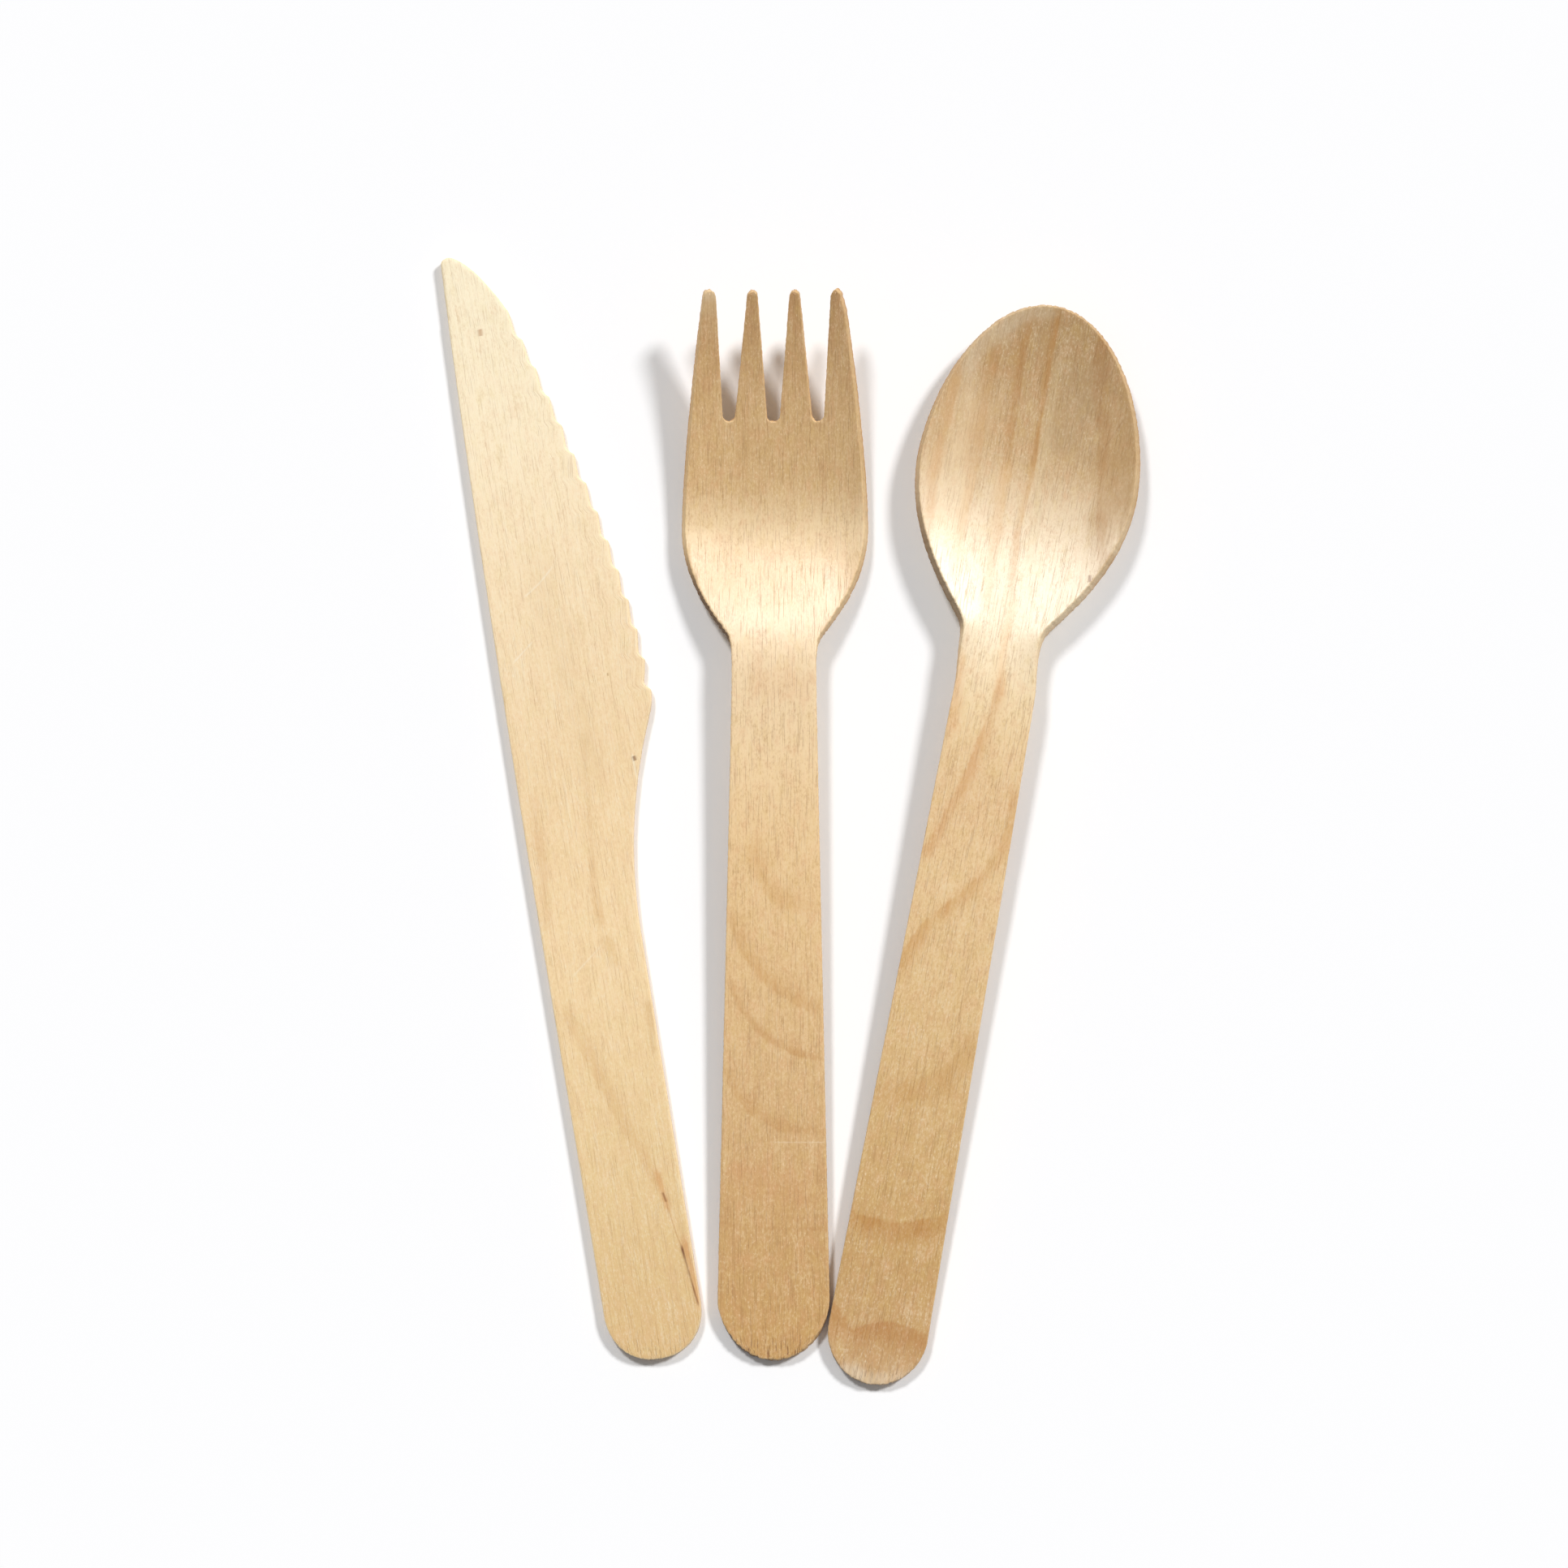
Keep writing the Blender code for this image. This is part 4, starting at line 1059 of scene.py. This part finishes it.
SPOON_STREAKS = (
    # painted highlight: the left side of the bowl, which faces the right lamp, made paler
    (-11.5, 147.0, -11.5, 119.0, 0.6, 3.4, 0.6, 1.0, 0.4, (247, 221, 180)),
    # painted shade: the right side of the bowl, which turns away from the right lamp, made darker
    (13.4, 150.0, 13.6, 120.0, 0.0, 4.2, 0.6, 1.0, 0.46, (168, 127, 67)),
    (-0.4, 158.9, -0.1, 134.4, 0.25, 0.18, 0.2, 4.0, 0.52, (174, 113, 0)),
    (-0.1, 134.4, 0.5, 115.3, 0.8, 0.28, 0.25, 3.0, 0.38, (196, 134, 41)),
    (0.5, 115.3, 1.1, 101.5, 0.3, 0.45, 0.4, 1.8, 0.36, (228, 168, 93)),
    (0.7, 152.5, 1.7, 121.0, 0.3, 0.65, 0.3, 1.0, 0.28, (221, 200, 157)),
    (-4.5, 158.4, -4.0, 135.8, 0.45, 0.35, 0.4, 3.0, 0.46, (170, 110, 18)),
    (-4.0, 135.8, -3.5, 114.0, 0.15, 0.55, 0.5, 2.0, 0.32, (213, 159, 90)),
    (-8.8, 152.5, -9.0, 133.6, 0.2, 0.5, 0.5, 3.2, 0.34, (179, 118, 26)),
    (-9.0, 133.6, -8.9, 117.0, 0.1, 0.5, 0.5, 2.2, 0.3, (213, 157, 87)),
    (-13.7, 147.6, -14.0, 122.0, 0.8, 0.5, 0.5, 2.4, 0.36, (196, 132, 46)),
    (8.8, 143.1, 5.7, 157.5, -0.7, 0.4, 0.4, 5.0, 0.44, (157, 98, 0)),
    (12.2, 123.0, 8.8, 143.1, 0.0, 0.4, 0.4, 4.5, 0.26, (166, 108, 18)),
    (12.0, 145.0, 9.5, 139.6, 0.0, 0.1, 0.0, 1.0, 0.3, (134, 87, 26)),
    (11.2, 120.9, 11.5, 119.8, 0.0, 0.24, 0.1, 1.0, 0.75, (122, 67, 0)),
    (-6.2, 107.0, -4.9, 95.0, 0.1, 0.9, 0.9, 1.2, 0.34, (213, 143, 73)),
    (-6.3, 76.8, 0.4, 103.5, 1.2, 0.35, 0.35, 3.0, 0.42, (198, 134, 66)),
    (-0.4, 71.0, 5.2, 88.5, 2.35, 0.45, 0.6, 3.2, 0.4, (189, 130, 41)),
    (-6.8, 59.5, -0.4, 71.0, -1.05, 0.45, 0.5, 3.0, 0.5, (187, 125, 26)),
    (-6.2, 42.3, 5.9, 52.6, 2.7, 0.9, 1.2, 3.2, 0.34, (181, 125, 41)),
    (-7.0, 23.9, 7.2, 26.4, 1.6, 0.35, 0.6, 7.0, 0.48, (172, 108, 0)),
    (-3.6, 7.2, 7.8, 8.0, -1.6, 0.35, 0.4, 8.0, 0.5, (166, 100, 0)),
    (-7.6, 10.8, -2.8, 7.0, 0.3, 0.35, 0.6, 6.0, 0.42, (176, 113, 32)),
    (-7.0, 0.9, 7.0, 0.9, 0.0, 1.7, 0.8, 1.0, 0.6, (232, 211, 181)),
    (4.6, 153.0, 5.0, 138.0, 0.0, 3.4, 0.6, 1.0, 0.28, (160, 134, 96)),
    (-13.0, 146.5, -2.0, 159.2, -2.6, 1.3, 0.4, 1.0, 0.45, (226, 206, 174)),
)


def centred_press(x, y, die):
    """Height of the pressed underside, with x from the bowl's own middle line."""
    return spoon_press(x + bowl_drift(y), y, die)


spoon_wood = veneer("spoon_birch", SPOON_LENGTH, SPOON_TONES_AND_SHEEN, SPOON_STREAKS, SPOON_LOOK)
spoon = cut_blank("wooden_spoon", spoon_outline(), lambda x, y: HANDLE_WEAR)
spoon = shaped(spoon, press_tree("spoon press", spoon_press, SPOON_DIE), SPOON_DIE, spoon_wood)
centred_outline = [(x - bowl_drift(y), y) for x, y in spoon_outline()]
spoon_tilt = resting_tilt(centred_outline, centred_press, SPOON_DIE)
spoon = laid(spoon, SPOON_PLACE, SPOON_LEAN, spoon_tilt)
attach(spoon, "root")
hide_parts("spoon")


# Floor, light and camera
# White table top under two soft studio lamps above and behind the set.
# The camera looks almost straight down, as in the photo.

FLOOR_SIZE = 6.0
FLOOR_GAP = 0.00002  # keeps the floor clear of the undersides that rest on it
ROOM_LIGHT = 0.22  # what the white room gives the set; it is seen at full white
LAMP_SOFTNESS = radians(10.0)
LAMPS = (("right_lamp", (0.9, 0.7, 1.0), 2.08),
         ("left_lamp", (-0.38, 0.76, 1.0), 1.40))
CAMERA_TARGET = Vector((-0.000718, 0.004524, 0.0))
CAMERA_DISTANCE = 0.65
CAMERA_TO_RIGHT = radians(2.0)
CAMERA_TO_FRONT = radians(5.0)
CAMERA_LENS = 101.87  # in millimetres, for a sensor 36 mm wide
CAMERA_SENSOR = 36.0

bpy.ops.mesh.primitive_plane_add(size=FLOOR_SIZE, location=(0.0, 0.0, -FLOOR_GAP))
floor_plane = bpy.context.object
floor_plane.name = "table_top"
paper = bpy.data.materials.new("white_table")
paper.use_nodes = True
paper_surface = paper.node_tree.nodes["Principled BSDF"]
paper_surface.inputs["Base Color"].default_value = linear(254, 254, 255)
paper_surface.inputs["Roughness"].default_value = 0.9
paper_surface.inputs["Specular IOR Level"].default_value = 0.0
floor_plane.data.materials.append(paper)

for name, toward, strength in LAMPS:
    lamp = bpy.data.lights.new(name, 'SUN')
    lamp.energy = strength
    lamp.angle = LAMP_SOFTNESS
    holder = bpy.data.objects.new(name, lamp)
    holder.rotation_euler = Vector(toward).to_track_quat('Z', 'Y').to_euler()
    bpy.context.scene.collection.objects.link(holder)

world = bpy.data.worlds.new("studio")
world.use_nodes = True
bpy.context.scene.world = world
nodes, links = world.node_tree.nodes, world.node_tree.links
background = nodes["Background"]
background.inputs["Color"].default_value = (1.0, 1.0, 1.0, 1.0)
path = nodes.new("ShaderNodeLightPath")
white_rays = path.outputs["Is Camera Ray"]
for ray in ("Is Glossy Ray", "Is Transmission Ray"):
    either = nodes.new("ShaderNodeMath")
    either.operation = 'MAXIMUM'
    links.new(white_rays, either.inputs[0])
    links.new(path.outputs[ray], either.inputs[1])
    white_rays = either.outputs[0]
level = nodes.new("ShaderNodeMapRange")
level.inputs["To Min"].default_value = ROOM_LIGHT
level.inputs["To Max"].default_value = 1.0
links.new(white_rays, level.inputs["Value"])
links.new(level.outputs[0], background.inputs["Strength"])

camera_way = Vector((tan(CAMERA_TO_RIGHT), -tan(CAMERA_TO_FRONT), 1.0)).normalized()
camera_right = Vector((0.0, 1.0, 0.0)).cross(camera_way).normalized()
camera_up = camera_way.cross(camera_right)
camera = bpy.data.objects.new("camera", bpy.data.cameras.new("camera"))
camera.data.sensor_width = CAMERA_SENSOR
camera.data.lens = CAMERA_LENS
turn = Matrix((camera_right, camera_up, camera_way)).transposed().to_4x4()
camera_place = CAMERA_TARGET + camera_way * CAMERA_DISTANCE
camera.matrix_world = Matrix.Translation(camera_place) @ turn
bpy.context.scene.collection.objects.link(camera)
bpy.context.scene.camera = camera
bpy.context.scene.view_settings.view_transform = 'Standard'
